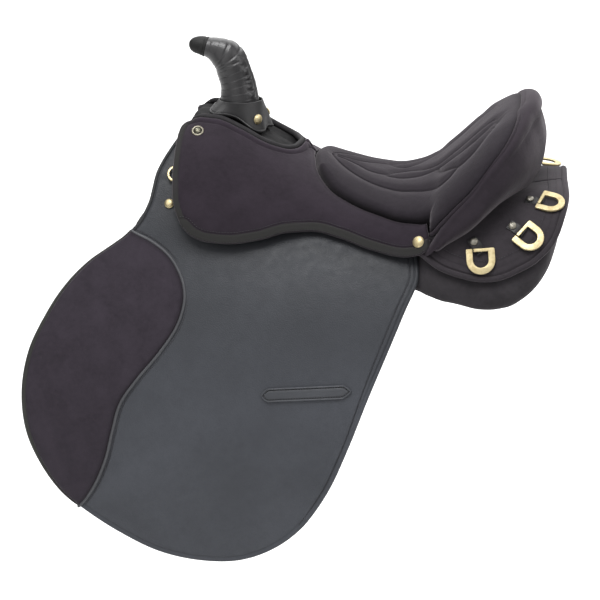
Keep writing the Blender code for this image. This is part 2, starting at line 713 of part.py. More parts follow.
piping = []
for k in range(23):
    x, y = rim_rear(k / 22)
    x1, y1 = rim_rear(max(0, k / 22 - .01))
    x2, y2 = rim_rear(min(1, k / 22 + .01))
    p = skirt(x, -y, -.0025)
    tang = (skirt(x2, -y2) - skirt(x1, -y1)).normalized()
    n = (skirt(x, -y, .001) - skirt(x, -y)).normalized()
    out = tang.cross(n)
    out = out if out.dot(Vector((x - .15, -y, 0))) > 0 else -out
    piping.append(p + out * .0034)
piping[-1].y = 0
tube("skirt_piping", piping + [flip(p) for p in reversed(piping[:-1])], .0026, "binding", 1)

outer_y = Station([(-.185, .118), (-.10, .124), (.06, .126), (.075, .130), (.095, .146), (.112, .157), (.125, .1635),
                   (.150, .1695), (.189, .1715), (.225, .169), (.245, .163), (.262, .154), (.274, .141),
                   (.284, .120), (.289, .097)])
rise = Station([(-.19, 0), (.20, 0), (.225, .002), (.25, .009), (.274, .022), (.289, .036)])


def under(x, y, d):
    """Z of the leather line moved by d, over the half width y."""
    lo, hi = 0.0, 1.0
    for _ in range(14):
        m = (lo + hi) / 2
        if abs(top(x, m, d).y) < y:
            lo = m
        else:
            hi = m
    return top(x, (lo + hi) / 2, d).z


def panel(u, v, w):
    x = -.185 + .474 * u
    yo = outer_y(x)
    y = HALF_CHANNEL + (yo - HALF_CHANNEL) * v
    rear = blend(.085, .135, x)
    z0 = back_z(y) + rise(x) - .002 + .006 * v ** 4 * blend(.09, .115, x) * (1 - blend(.15, .19, x))
    front_top = min(.038, .1010 - .95 * y)
    slope = 4.4 * .096 / .178 * (y / .178) ** 3.4
    rear_top = skirt_z(y) - .0085 * (1 + slope * slope) ** .5
    z1 = front_top + rear * (rear_top - front_top)
    if w > .5 and -.03 < x < .215 and y < .118:
        z1 = min(z1, under(x, min(y + .008, .102), -TREE_DEPTH - TREE_WALL - .0070))
    z1 = max(z1, z0 + .012)
    return Vector((x, -y, z0 if w < .5 else z1))


left = slab("panel_left", 20, 5, panel, "lining")
other_side(left, "panel_right")


# ---------------------------------------------------------------- dees, clips and screws
def dee_outline():
    """Outer and inner outline of a dee in its own plane: bar on Y = 0, tip at +Y."""
    hw, s = DEE_WIDTH / 2, DEE_SIDE
    outer = [(-hw + .004, -BAR), (hw - .004, -BAR), (hw - .0012, -BAR + .0012), (hw, .0040)]
    outer += [(hw * cos(a), s + hw * sin(a)) for a in np.linspace(0, pi, 11)]
    outer += [(-hw, .0040), (-hw + .0012, -BAR + .0012)]
    r = hw - DEE_BAND
    inner = [(-r, BAR), (r, BAR)] + [(r * cos(a), s + r * sin(a)) for a in np.linspace(0, pi, 8)]
    return outer, inner


def flat_outline(name, outlines, half, finish, place):
    """Flat plate cut to the outlines, the first outside and the rest holes."""
    cu = bpy.data.curves.new(name, "CURVE")
    cu.dimensions = "2D"
    cu.fill_mode = "BOTH"
    cu.extrude = half
    for pts in outlines:
        sp = cu.splines.new("POLY")
        sp.points.add(len(pts) - 1)
        for i, p in enumerate(pts):
            sp.points[i].co = (p[0], p[1], 0, 1)
        sp.use_cyclic_u = True
    ob = bpy.data.objects.new(name + "_curve", cu)
    SADDLE.objects.link(ob)
    deps = bpy.context.evaluated_depsgraph_get()
    me = bpy.data.meshes.new_from_object(ob.evaluated_get(deps))
    bpy.data.objects.remove(ob, do_unlink=True)
    bm = bmesh.new()
    bm.from_mesh(me)
    bmesh.ops.remove_doubles(bm, verts=bm.verts[:], dist=1e-6)
    bmesh.ops.recalc_face_normals(bm, faces=bm.faces[:])
    bm.to_mesh(me)
    bm.free()
    me.name = name
    me.transform(place)
    return me


def clip_outline():
    """Strap in side view: Y along the strap, Z up; it wraps the bar at the origin."""
    ro, ri = .0042, .0027
    outer = [(ro * cos(a), ro * sin(a)) for a in np.linspace(-pi / 2, pi / 2, 6)]
    outer += [(-.0045, ro), (-.0075, -.0010), (-.0200, -.0018), (-.0200, -ro)]
    inner = [(ri * cos(a), ri * sin(a)) for a in np.linspace(0, 2 * pi, 9, endpoint=False)]
    return outer, inner


LIFT = .0047      # height of a dee's bar over the skirt


def dee_frame(spot, surf, out):
    """Placement of a dee whose bar is over spot's first point and whose tip lies towards the second."""
    (bx, by), (tx, ty) = spot[0], spot[1]
    p, q = surf(bx, by, LIFT), surf(tx, ty, .0040)
    n = (surf(bx, by, .01) - surf(bx, by, 0)).normalized()
    b = (q - p).normalized()
    a = b.cross(n).normalized()
    return frame(p, a.cross(b), b)


TURN = Matrix(((0, 0, 1, 0), (1, 0, 0, 0), (0, 1, 0, 0), (0, 0, 0, 1)))
SCREW_HEAD = [(0, -.0032), (.0030, -.0032), (.0030, 0), (.0056, 0), (.0058, .0008), (.0048, .0020), (.0024, .0026), (0, .0028)]


def clip(name, place, half, scale=1.0):
    """Strap that wraps a dee's bar, with the screw that holds it, joined into one body."""
    me = flat_outline(name, clip_outline(), half, "old_brass", place @ TURN)
    base = add(name, me, "old_brass")
    screw = piece(name + "_screw", lambda bm: lathe(bm, SCREW_HEAD, 9, place @ Matrix.Translation((0, -.0140, -.0012))
                                                    @ Matrix.Diagonal((scale, scale, 1, 1))), "old_brass")
    m = base.modifiers.new("screw", "BOOLEAN")
    m.operation = "UNION"
    m.solver = "EXACT"
    m.object = screw
    deps = bpy.context.evaluated_depsgraph_get()
    out = bpy.data.meshes.new_from_object(base.evaluated_get(deps))
    bpy.data.objects.remove(base, do_unlink=True)
    bpy.data.objects.remove(screw, do_unlink=True)
    out.name = name
    out.shade_smooth()
    out.set_sharp_from_angle(angle=.6)
    return add(name, out, "old_brass")


def near(x, y, d):
    return skirt(x, -y, d)


for i, spot in enumerate(REAR_DEES):
    place = dee_frame(spot, near, 1)
    me = flat_outline("rear_dee_left_%d" % (i + 1), dee_outline(), DEE_THICK / 2, "brass", place)
    me.shade_smooth()
    me.set_sharp_from_angle(angle=.6)
    ob = add("rear_dee_left_%d" % (i + 1), me, "brass")
    origin_to(ob, place.translation)
    other_side(ob, "rear_dee_right_%d" % (i + 1))
    n_surf = (near(*spot[0], .01) - near(*spot[0], 0)).normalized()
    ob = clip("rear_dee_clip_left_%d" % (i + 1), frame(place.translation, n_surf, place.col[1].xyz), .007)
    other_side(ob, "rear_dee_clip_right_%d" % (i + 1))

# washers and studs on the jockeys
p = top(-.186, .325, .0006)
n = (top(-.186, .325, .01) - top(-.186, .325, 0)).normalized()
washer_screw = [(0, 0), (.0078, 0), (.0080, .0010), (.0070, .0018), (.0062, .0018), (.0056, .0034), (.0030, .0042),
                (0, .0044)]
turned_pair("jockey_front_screw", frame(p, n, (1, 0, 0)), washer_screw, 10)
p = top(.111, .865, .0030)
n = (top(.111, .865, .01) - top(.111, .865, 0)).normalized()
stud = [(0, 0), (.0074, 0), (.0077, .0008), (.0066, .0026), (.0038, .0040), (0, .0045)]
turned_pair("jockey_rear_stud", frame(p, n, (1, 0, 0)), stud, 10)

# ---------------------------------------------------------------- flaps
fold_a, fold_b = Vector(FOLD_FRONT), Vector(FOLD_REAR)


def fold_z(x):
    return FOLD_FRONT[2] + (FOLD_REAR[2] - FOLD_FRONT[2]) * (x - FOLD_FRONT[0]) / (FOLD_REAR[0] - FOLD_FRONT[0])


flap_front, flap_bottom, flap_rear = Path(FLAP_FRONT_EDGE), Path(FLAP_BOTTOM), Path(FLAP_REAR_EDGE)
x0, x1 = FLAP_FRONT_EDGE[0][0], FLAP_REAR_EDGE[0][0]


def fold_low(u):
    x = x0 + (x1 - x0) * u
    z = fold_z(x) - FLAP_GAP
    return np.array([x, z + (FLAP_FRONT_EDGE[0][1] - fold_z(x0) + FLAP_GAP) * max(0, 1 - 12 * u)
                     + (FLAP_REAR_EDGE[0][1] - fold_z(x1) + FLAP_GAP) * max(0, 12 * u - 11)])


flap_map = coons(fold_low, flap_bottom, flap_front, flap_rear)


def flap_sheet(d):
    def f(u, v):
        x, z = flap_map(u, v)
        return flap(x, z, d)
    return f


left = surface("flap_left", 10, 13, flap_sheet(0), LEATHER, "leather", offset=0)
HINGE = (fold_a + fold_b) / 2
hinge_near = Vector((HINGE.x, -HINGE.y, HINGE.z))
origin_to(left, hinge_near)
other_side(left, "flap_right")

# fixed upper strip of the flap, running up under the jockey
strip_top = Path([(-.2125, .1230), (-.200, .1020), (-.178, .066), (-.150, .036), (-.110, .027), (-.060, .024), (0, .020),
                  (.055, .012), (.090, .004), (.108, -.004)])
strip_front = Path([(-.2600, .0178), (-.2524, .0262), (-.2443, .0384), (-.2382, .0513), (-.2360, .0663), (-.2338, .0811),
                    (-.2300, .0924), (-.2232, .1062), (-.2125, .1230)])


def strip_low(u):
    x = -.2600 + (.108 + .2600) * u
    return np.array([x, fold_z(x) + FLAP_GAP])


strip_map = coons(strip_low, strip_top, strip_front,
                  Path([tuple(strip_low(1)), (.108, -.012), (.108, -.004)]))
left = surface("flap_top_left", 14, 5, lambda u, v: flap(*strip_map(u, v)), LEATHER, "leather", offset=0)
other_side(left, "flap_top_right")

# knee pad between the flap's front edge and an S-shaped line, with piping on that line
knee_s = Path(KNEE_EDGE)
pad_front = Path([(-.2725, -.0035), (-.2795, -.0105), (-.3055, -.0285), (-.3340, -.0560), (-.3605, -.0915), (-.3815, -.1345),
                  (-.3890, -.1831), (-.3835, -.2340), (-.3650, -.2785), (-.3410, -.3125), (-.3225, -.3290)])
pad_map = coons(Path([(-.2725, -.0035), (-.2665, -.0035), (-.2600, -.0035)]),
                Path([(-.3225, -.3290), (-.3195, -.3310), (-.3160, -.3290)]), pad_front,
                Path([(-.2600, -.0035), (-.2370, -.0085), (-.2125, -.0225), (-.1955, -.0445), (-.1910, -.0654),
                      (-.1975, -.0930), (-.2190, -.1258), (-.2465, -.1590), (-.2685, -.1910), (-.2795, -.2295),
                      (-.2880, -.2635), (-.3003, -.2960), (-.3160, -.3290)]))


def pad_point(u, v, w):
    x, z = pad_map(u, v)
    e = min(1, 4 * min(u, 1 - u)) * min(1, 8 * min(v, 1 - v))
    return flap(x, z, .0031 + (0 if w < .5 else .0022 + .0055 * e))


left = slab("knee_pad_left", 6, 13, pad_point, "suede")
origin_to(left, hinge_near)
other_side(left, "knee_pad_right")

# keeper patch on the flap, long and pointed at both ends
def keeper(u, v, w):
    x = -.0805 + .1125 * u
    z = -.1765 + .0105 * u
    half_h = .0085 * min(1, min(u, 1 - u) * 9 + .12)
    return flap(x, z + half_h * (2 * v - 1), .0029 if w < .5 else .0054)


left = slab("strap_keeper_left", 8, 1, keeper, "leather")
origin_to(left, hinge_near)
other_side(left, "strap_keeper_right")

# sweat flap, the inner leather that lies on the panel
sweat_front = Path([(-.2480, .014), (-.2560, .002), (-.2790, -.0200), (-.3110, -.0510), (-.3390, -.0880), (-.3590, -.1325),
                    (-.3660, -.1831), (-.3620, -.2330), (-.3440, -.2760), (-.3170, -.3120)])
sweat_bottom = Path([(-.3170, -.3120), (-.2600, -.3480), (-.2100, -.3680), (-.160, -.3760), (-.1100, -.3720),
                     (-.0700, -.3560), (-.0400, -.3280)])
sweat_rear = Path([(.082, -.016), (.074, -.060), (.058, -.110), (.036, -.170), (.012, -.235), (-.010, -.285), (-.0400, -.3280)])
sweat_top = Path([(-.2480, .014), (-.200, .022), (-.15, .018), (-.10, .010), (-.04, .002), (.02, -.006), (.082, -.016)])
sweat_map = coons(sweat_top, sweat_bottom, sweat_front, sweat_rear)
left = surface("sweat_flap_left", 9, 11, lambda u, v: flap(*sweat_map(u, v), -.0150), .003, "leather", offset=0)
other_side(left, "sweat_flap_right")


# billets, the girth straps between flap and sweat flap
def billet(xc, x_low):
    def f(u, v, w):
        z = .004 - .294 * v
        x = xc + (x_low - xc) * v + BILLET_WIDTH * (u - .5)
        return flap(x, z, -.0085 + (BILLET_THICK / 2 if w < .5 else -BILLET_THICK / 2))
    return f


for name, xc, xl in (("billet_front", -.110, -.110), ("billet_rear", -.030, -.030)):
    left = slab(name + "_left", 1, 10, billet(xc, xl), "leather")
    origin_to(left, flap(xc, -.002, -.0085))
    other_side(left, name + "_right")

# small dee and stud on the flap's upper front leather
def front_surf(x, z, d):
    return flap(x, z, d + .0025)


p = front_surf(-.2012, .0795, LIFT)
q = front_surf(-.2332, .0745, .0046)
n = (front_surf(-.2012, .0795, .01) - front_surf(-.2012, .0795, 0)).normalized()
b = (q - p).normalized()
FRONT_SCALE = .62
front_place = frame(p, b.cross(n).normalized().cross(b), b)
me = flat_outline("front_dee_left", dee_outline(), DEE_THICK / 2, "brass",
                  front_place @ Matrix.Diagonal((FRONT_SCALE, FRONT_SCALE, 1, 1)))
me.shade_smooth()
me.set_sharp_from_angle(angle=.6)
ob = add("front_dee_left", me, "brass")
origin_to(ob, p)
other_side(ob, "front_dee_right")
ob = clip("front_dee_clip_left", frame(p, n, b), .0042, .7)
other_side(ob, "front_dee_clip_right")
p = front_surf(-.2149, .0459, .0004)
n = (front_surf(-.2149, .0459, .01) - front_surf(-.2149, .0459, 0)).normalized()
small_stud = [(0, 0), (.0062, 0), (.0064, .0008), (.0054, .0022), (.0030, .0034), (0, .0038)]
turned_pair("front_stud", frame(p, n, (1, 0, 0)), small_stud, 9)
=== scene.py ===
import bpy
import bmesh
import numpy as np
from math import pi, sin, cos, radians
from mathutils import Matrix, Vector


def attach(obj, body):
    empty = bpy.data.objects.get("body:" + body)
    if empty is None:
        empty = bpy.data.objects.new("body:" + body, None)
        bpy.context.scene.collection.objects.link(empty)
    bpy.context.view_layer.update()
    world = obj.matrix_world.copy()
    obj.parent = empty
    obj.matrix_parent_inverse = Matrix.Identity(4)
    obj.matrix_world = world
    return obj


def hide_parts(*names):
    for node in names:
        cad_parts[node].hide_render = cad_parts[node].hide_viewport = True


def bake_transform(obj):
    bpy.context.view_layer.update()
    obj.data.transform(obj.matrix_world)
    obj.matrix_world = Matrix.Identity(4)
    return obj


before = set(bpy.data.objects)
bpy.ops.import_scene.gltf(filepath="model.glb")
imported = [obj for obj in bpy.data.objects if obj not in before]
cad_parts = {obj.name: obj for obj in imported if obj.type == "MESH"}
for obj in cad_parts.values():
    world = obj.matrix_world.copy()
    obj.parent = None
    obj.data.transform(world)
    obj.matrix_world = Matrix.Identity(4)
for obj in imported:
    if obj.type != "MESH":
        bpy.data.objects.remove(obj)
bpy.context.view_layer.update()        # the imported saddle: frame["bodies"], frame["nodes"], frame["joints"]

SCENE = bpy.context.scene

# ---------------------------------------------------------------- camera, at the photograph's angle
AZ, EL, DIST = radians(7), radians(18), 2.4
TARGET = Vector((-.06, 0, -.12))
back = Vector((sin(AZ) * cos(EL), -cos(AZ) * cos(EL), sin(EL)))
right = Vector((cos(AZ), sin(AZ), 0))
cam = bpy.data.objects.new("camera", bpy.data.cameras.new("camera"))
SCENE.collection.objects.link(cam)
cam.matrix_world = (Matrix.Translation(TARGET + back * DIST)
                    @ Matrix((right, back.cross(right), back)).transposed().to_4x4())
cam.data.lens, cam.data.sensor_width = 103.68, 36
SCENE.camera = cam

# ---------------------------------------------------------------- dimensions, as in the part's source
LEATHER = 0.005
CUSHION_DEPTH = 0.014
BILLET_WIDTH = 0.025
DEE_WIDTH, DEE_BAND, DEE_THICK, DEE_SIDE, BAR = 0.0364, 0.0085, 0.003, 0.0130, 0.0016
FRONT_SCALE = .62
LIFT = .0047
HALF_CHANNEL = 0.032
CREST = [(-.213, .150), (-.19, .154), (-.166, .154), (-.134, .143), (-.10, .124),
         (-.077, .111), (-.056, .100), (-.036, .0925), (0, .0780), (.04, .0665),
         (.075, .0630), (.10, .0675), (.13, .0810), (.155, .1025), (.18, .1285),
         (.20, .147), (.22, .161), (.235, .169), (.252, .1745)]
EDGE = [(-.213, .160, .016), (-.19, .165, .009), (-.16, .166, .006), (-.13, .163, .005),
        (-.093, .153, .009), (-.058, .142, .017), (-.026, .136, .018), (.007, .141, .012),
        (.048, .152, .001), (.087, .161, -.005), (.110, .166, -.001), (.126, .168, .010),
        (.140, .168, .033), (.153, .166, .051), (.176, .162, .078), (.197, .150, .107),
        (.222, .127, .134), (.235, .098, .152), (.243, .065, .1660), (.252, .0, .1745)]
FLAT = [(-.2, .50), (-.1, .46), (-.03, .42), (.05, .50), (.12, .60), (.2, .62), (.25, .6)]
TUCK = [(-.2, .016, .062), (-.1, .018, .052), (-.03, .022, .044), (.05, .022, .048),
        (.12, .012, .038), (.16, .010, .030), (.2, .008, .022), (.25, .003, .004)]
RIM = [(-.200, .225), (-.186, .207), (-.167, .213), (-.135, .230), (-.101, .250),
       (-.076, .225), (-.062, .150), (-.0565, .06), (-.0555, .005)]
SEAM = [(-.0375, .005), (-.0365, .08), (-.034, .18), (-.030, .31), (-.019, .455),
        (-.003, .560), (.021, .615), (.049, .640), (.076, .652), (.098, .658), (.118, .685)]
FRONT = [(-.200, .225), (-.207, .35), (-.211, .505), (-.210, .665), (-.206, .81),
         (-.193, .925)]
LOWER = [(-.193, .925), (-.180, .970), (-.161, .993), (-.130, 1.0), (-.09, 1.0), (-.058, 1.0),
         (-.026, 1.0), (.007, 1.0), (.048, 1.0), (.087, 1.0), (.110, 1.0), (.125, .985)]
FLAP_SECTION = [(.045, .088), (.065, .069), (.085, .050), (.105, .031), (.125, .012),
                (.145, -.008), (.163, -.030), (.182, -.060), (.199, -.095), (.215, -.140),
                (.228, -.190), (.236, -.250), (.240, -.320), (.241, -.440)]
FLAP_FRONT = [(.088, .100), (.108, .075), (.125, .050), (.142, .020), (.155, -.010),
              (.168, -.035), (.189, -.075), (.2085, -.120), (.2155, -.142), (.228, -.190),
              (.236, -.250), (.240, -.320), (.241, -.440)]
FLAP_FRONT_EDGE = [(-.2723, .0060), (-.2825, -.0014), (-.2985, -.0122), (-.3145, -.0234), (-.3335, -.0410), (-.3508, -.0622),
                   (-.3670, -.0890), (-.3866, -.1325), (-.3946, -.1831), (-.3890, -.2356), (-.3700, -.2812),
                   (-.3450, -.3172)]
FLAP_BOTTOM = [(-.3450, -.3172), (-.3165, -.3410), (-.2700, -.3712), (-.2172, -.3960),
               (-.163, -.406), (-.1097, -.4028), (-.0633, -.3827), (-.024, -.3476)]
FLAP_REAR_EDGE = [(.1115, -.0345), (.097, -.0694), (.0790, -.1144), (.0545, -.1761),
                  (.0305, -.2417), (.0060, -.2997), (-.024, -.3476)]
STRIP_FRONT = [(-.2125, .1230), (-.2240, .1062), (-.2320, .0924), (-.2368, .0811), (-.2395, .0663),
               (-.2420, .0513), (-.2468, .0384), (-.2532, .0262), (-.2602, .0178)]
STRIP_TOP = [(-.2125, .1230), (-.200, .1020), (-.178, .066), (-.150, .036), (-.110, .027), (-.060, .024), (0, .020),
             (.055, .012), (.090, .004), (.108, -.004)]
FOLD_FRONT, FOLD_REAR = (-.262, .141, .014), (.115, .158, -.030)
SKIRT_RIM = [(.1300, .1700), (.144, .175), (.189, .178), (.235, .172), (.259, .164),
             (.279, .148), (.289, .122), (.2945, .085), (.296, .045), (.296, .0)]
CANTLE_FOOT = [(.1335, .1620), (.148, .157), (.172, .147), (.205, .118), (.232, .080),
               (.246, .040), (.250, .0)]
HORN = [(-.1405, .150, .0262), (-.1415, .165, .0255), (-.1435, .180, .0238), (-.1475, .195, .0228),
        (-.1535, .209, .0222), (-.1625, .2195, .0198), (-.1735, .2265, .0160), (-.184, .2300, .0132),
        (-.193, .2322, .0114)]
HORN_TIP = [(-.2000, .2330, .0098), (-.2055, .2334, .0072), (-.2083, .2336, .0036), (-.2092, .2336, .0)]
REAR_DEES = [((.1887, .1588), (.1920, .1730), (.1815, .1535)),
             ((.2396, .1430), (.2652, .1547), (.2290, .1385)),
             ((.2630, .1005), (.2939, .1100), (.2500, .0985))]


# ---------------------------------------------------------------- curves and surfaces
def tangents(x, y):
    h, d = np.diff(x), np.diff(y) / np.diff(x)
    m = np.zeros(len(x))
    m[0], m[-1] = d[0], d[-1]
    for i in range(1, len(x) - 1):
        if d[i - 1] * d[i] > 0:
            a, b = 2 * h[i] + h[i - 1], h[i] + 2 * h[i - 1]
            m[i] = (a + b) / (a / d[i - 1] + b / d[i])
    return m


class Station:
    """A smooth function through stations (x, y), straight beyond its ends."""

    def __init__(self, pairs):
        pairs = sorted(pairs)
        self.x = np.array([p[0] for p in pairs], float)
        self.y = np.array([p[1] for p in pairs], float)
        self.m = tangents(self.x, self.y)

    def __call__(self, v):
        v = np.asarray(v, float)
        x, y, m = self.x, self.y, self.m
        i = np.clip(np.searchsorted(x, v) - 1, 0, len(x) - 2)
        h = x[i + 1] - x[i]
        t = (v - x[i]) / h
        mid = ((2 * t ** 3 - 3 * t ** 2 + 1) * y[i] + (t ** 3 - 2 * t ** 2 + t) * h * m[i]
               + (3 * t ** 2 - 2 * t ** 3) * y[i + 1] + (t ** 3 - t ** 2) * h * m[i + 1])
        return np.where(v <= x[0], y[0] + m[0] * (v - x[0]), np.where(v >= x[-1], y[-1] + m[-1] * (v - x[-1]), mid))


class Path:
    """A smooth curve through points, read by its share of the length."""

    def __init__(self, pts, fine=16):
        p = np.array(pts, float)
        s = np.concatenate([[0], np.cumsum(np.linalg.norm(np.diff(p, axis=0), axis=1) ** .5)])
        m = np.zeros_like(p)
        for i in range(1, len(p) - 1):
            a, b = s[i] - s[i - 1], s[i + 1] - s[i]
            da, db = (p[i] - p[i - 1]) / a, (p[i + 1] - p[i]) / b
            m[i] = (da * b + db * a) / (a + b)
        m[0] = 2 * (p[1] - p[0]) / (s[1] - s[0]) - m[1] if len(p) > 2 else (p[1] - p[0]) / s[1]
        m[-1] = 2 * (p[-1] - p[-2]) / (s[-1] - s[-2]) - m[-2] if len(p) > 2 else m[0]
        out = []
        for i in range(len(p) - 1):
            h = s[i + 1] - s[i]
            for k in range(fine):
                t = k / fine
                out.append((2 * t ** 3 - 3 * t ** 2 + 1) * p[i] + (t ** 3 - 2 * t ** 2 + t) * h * m[i]
                           + (3 * t ** 2 - 2 * t ** 3) * p[i + 1] + (t ** 3 - t ** 2) * h * m[i + 1])
        out.append(p[-1])
        self.p = np.array(out)
        self.s = np.concatenate([[0], np.cumsum(np.linalg.norm(np.diff(self.p, axis=0), axis=1))])
        self.length = float(self.s[-1])

    def __call__(self, t):
        v = np.clip(np.asarray(t, float), 0, 1) * self.length
        return np.stack([np.interp(v, self.s, self.p[:, k]) for k in range(self.p.shape[1])], -1)


CREST_Z = Station(CREST)
EDGE_Y = Station([(a, b) for a, b, c in EDGE])
EDGE_Z = Station([(a, c) for a, b, c in EDGE])
FLAT_K = Station(FLAT)
TUCK_Y = Station([(a, b) for a, b, c in TUCK])
TUCK_Z = Station([(a, c) for a, b, c in TUCK])
FLAP_Y = Station([(z, y) for y, z in FLAP_SECTION])
FRONT_Y = Station([(z, y) for y, z in FLAP_FRONT])


def section(x, t):
    z0, ye, ze = CREST_Z(x), np.maximum(EDGE_Y(x), 1e-4), EDGE_Z(x)
    a, dy, dz = FLAT_K(x), TUCK_Y(x), TUCK_Z(x)
    p = [(0 * ye, z0), (a * ye, z0), (ye - dy, ze + dz), (ye, ze)]
    c = [(1 - t) ** 3, 3 * t * (1 - t) ** 2, 3 * t * t * (1 - t), t ** 3]
    e = [3 * (1 - t) ** 2, 6 * t * (1 - t), 3 * t * t]
    y, z = (sum(c[i] * p[i][k] for i in range(4)) for k in (0, 1))
    ty, tz = (sum(e[i] * (p[i + 1][k] - p[i][k]) for i in range(3)) for k in (0, 1))
    return y, z, ty, tz


def top(x, t, d=0.0, side=-1):
    """Points of the saddle's upper leather line, moved out along its normal by d."""
    x, t, d = np.broadcast_arrays(np.asarray(x, float), np.asarray(t, float), np.asarray(d, float))
    s = np.where(t >= 0, side, -side)
    t = np.abs(t)
    y, z, ty, tz = section(x, t)
    h = .002
    ya, za, _, _ = section(x - h, t)
    yb, zb, _, _ = section(x + h, t)
    n = np.cross(np.stack([0 * y + 2 * h, yb - ya, zb - za], -1), np.stack([0 * y, ty, tz], -1))
    n /= np.linalg.norm(n, axis=-1, keepdims=True)
    wrong = np.where(t < .9, n[..., 2] < 0, n[..., 1] < 0)
    n = np.where(wrong[..., None], -n, n)
    q = np.stack([x, y, z], -1) + n * d[..., None]
    q[..., 1] *= s
    return q


def blend(a, b, x):
    t = np.clip((x - a) / (b - a), 0, 1)
    return t * t * (3 - 2 * t)


def flap_half(x, z):
    w = 1 - blend(-.19, -.075, x)
    return FLAP_Y(z) + w * (FRONT_Y(z) - FLAP_Y(z))


def flap(x, z, d=0.0, side=-1):
    """Points of the flap's middle surface, moved out along its normal by d."""
    x, z, d = np.broadcast_arrays(np.asarray(x, float), np.asarray(z, float), np.asarray(d, float))
    y = flap_half(x, z)
    h = .002
    gx = (flap_half(x + h, z) - flap_half(x - h, z)) / (2 * h)
    gz = (flap_half(x, z + h) - flap_half(x, z - h)) / (2 * h)
    n = np.stack([-gx, 1 + 0 * gx, -gz], -1)
    n /= np.linalg.norm(n, axis=-1, keepdims=True)
    q = np.stack([x, y, z], -1) + n * d[..., None]
    q[..., 1] *= side
    return q


def skirt_z(y):
    return .064 - .096 * (np.abs(y) / .178) ** 4.4


def skirt(x, y, d=0.0):
    """Points of the rear skirt's upper face, moved out along its normal by d."""
    x, y, d = np.broadcast_arrays(np.asarray(x, float), np.asarray(y, float), np.asarray(d, float))
    h = .001
    gz = (skirt_z(y + h) - skirt_z(y - h)) / (2 * h)
    n = np.stack([0 * gz, -gz, 1 + 0 * gz], -1)
    n /= np.linalg.norm(n, axis=-1, keepdims=True)
    return np.stack([x, y, skirt_z(y)], -1) + n * d[..., None]


def back_z(y):
    return -2.4 * y * y


def coons(low, high, left, right):
    """Patch between four edge curves that share their corners."""
    c00, c10, c01, c11 = low(0.), low(1.), high(0.), high(1.)

    def f(u, v):
        U, V = np.asarray(u)[..., None], np.asarray(v)[..., None]
        return ((1 - V) * low(u) + V * high(u) + (1 - U) * left(v) + U * right(v)
                - ((1 - U) * (1 - V) * c00 + U * (1 - V) * c10 + (1 - U) * V * c01 + U * V * c11))
    return f


# ---------------------------------------------------------------- mesh builders
def grid(us, vs):
    return np.meshgrid(np.asarray(us, float), np.asarray(vs, float), indexing="ij")


def spread(n, length, r):
    """Shares of a length: close together at both rounded edges, even between."""
    e = np.array([0, .04, .14, .32, .6, 1.]) * r / length
    return np.concatenate([e[:-1], np.linspace(e[-1], 1 - e[-1], n), (1 - e[:-1])[::-1]])


def quads(idx):
    return np.stack([idx[:-1, :-1], idx[1:, :-1], idx[1:, 1:], idx[:-1, 1:]], -1).reshape(-1, 4)


def volume(v, f):
    a, b, c, d = (v[f[:, k]] for k in range(4))
    return (np.einsum("ij,ij->i", a, np.cross(b, c)) + np.einsum("ij,ij->i", a, np.cross(c, d))).sum()


def make(name, verts, faces, mats, index=None, attrs=None):
    """Object from arrays, its faces turned outward, with vertex attributes."""
    verts, faces = np.asarray(verts, float), np.asarray(faces)
    if faces.shape[1] == 4 and volume(verts, faces) < 0:
        faces = faces[:, ::-1]
    me = bpy.data.meshes.new(name)
    me.from_pydata(verts.tolist(), [], faces.tolist())
    for m in mats if isinstance(mats, (list, tuple)) else [mats]:
        me.materials.append(m)
    if index is not None:
        me.polygons.foreach_set("material_index", np.asarray(index, np.int32))
    for key, val in (attrs or {}).items():
        a = me.attributes.new(key, "FLOAT", "POINT")
        a.data.foreach_set("value", np.asarray(val, np.float32))
    me.shade_smooth()
    me.update()
    ob = bpy.data.objects.new(name, me)
    SCENE.collection.objects.link(ob)
    return ob


def two_faced(name, up, low, mats, cell=None, attrs=None):
    """Closed body between two grids of points that share their border."""
    nu, nv, _ = up.shape
    idx = np.arange(nu * nv).reshape(nu, nv)
    inner = np.zeros((nu, nv), bool)
    inner[1:-1, 1:-1] = True
    under = idx.copy()
    under[inner] = nu * nv + np.arange(inner.sum())
    verts = np.concatenate([up.reshape(-1, 3), low[inner]])
    f = np.concatenate([quads(idx), quads(under)[:, ::-1]])
    at = {}
    for key, val in (attrs or {}).items():
        at[key] = np.concatenate([val.ravel(), val[inner] * 0])
    index = None
    if cell is not None:
        c = np.asarray(cell)[:-1, :-1].ravel()
        index = np.concatenate([c, c])
    return make(name, verts, f, mats, index, at)


def edges(mid):
    """Distance of each grid point from the four edges of the grid, measured along it."""
    su = np.concatenate([np.zeros((1, mid.shape[1])), np.cumsum(np.linalg.norm(np.diff(mid, axis=0), axis=2), 0)])
    sv = np.concatenate([np.zeros((mid.shape[0], 1)), np.cumsum(np.linalg.norm(np.diff(mid, axis=1), axis=2), 1)], 1)
    return su, su[-1:] - su, sv, sv[:, -1:] - sv


def rounded(s, r):
    return np.sqrt(np.clip(1 - (1 - np.clip(s / r, 0, 1)) ** 2, 0, 1))


def groove(s, at, width=.0009, depth=.0009):
    return -depth * np.exp(-((s - at) / width) ** 2)


def dent(s, at, width=.0012):
    """Share of a seam's dark line."""
    return np.exp(-((s - at) / width) ** 2)


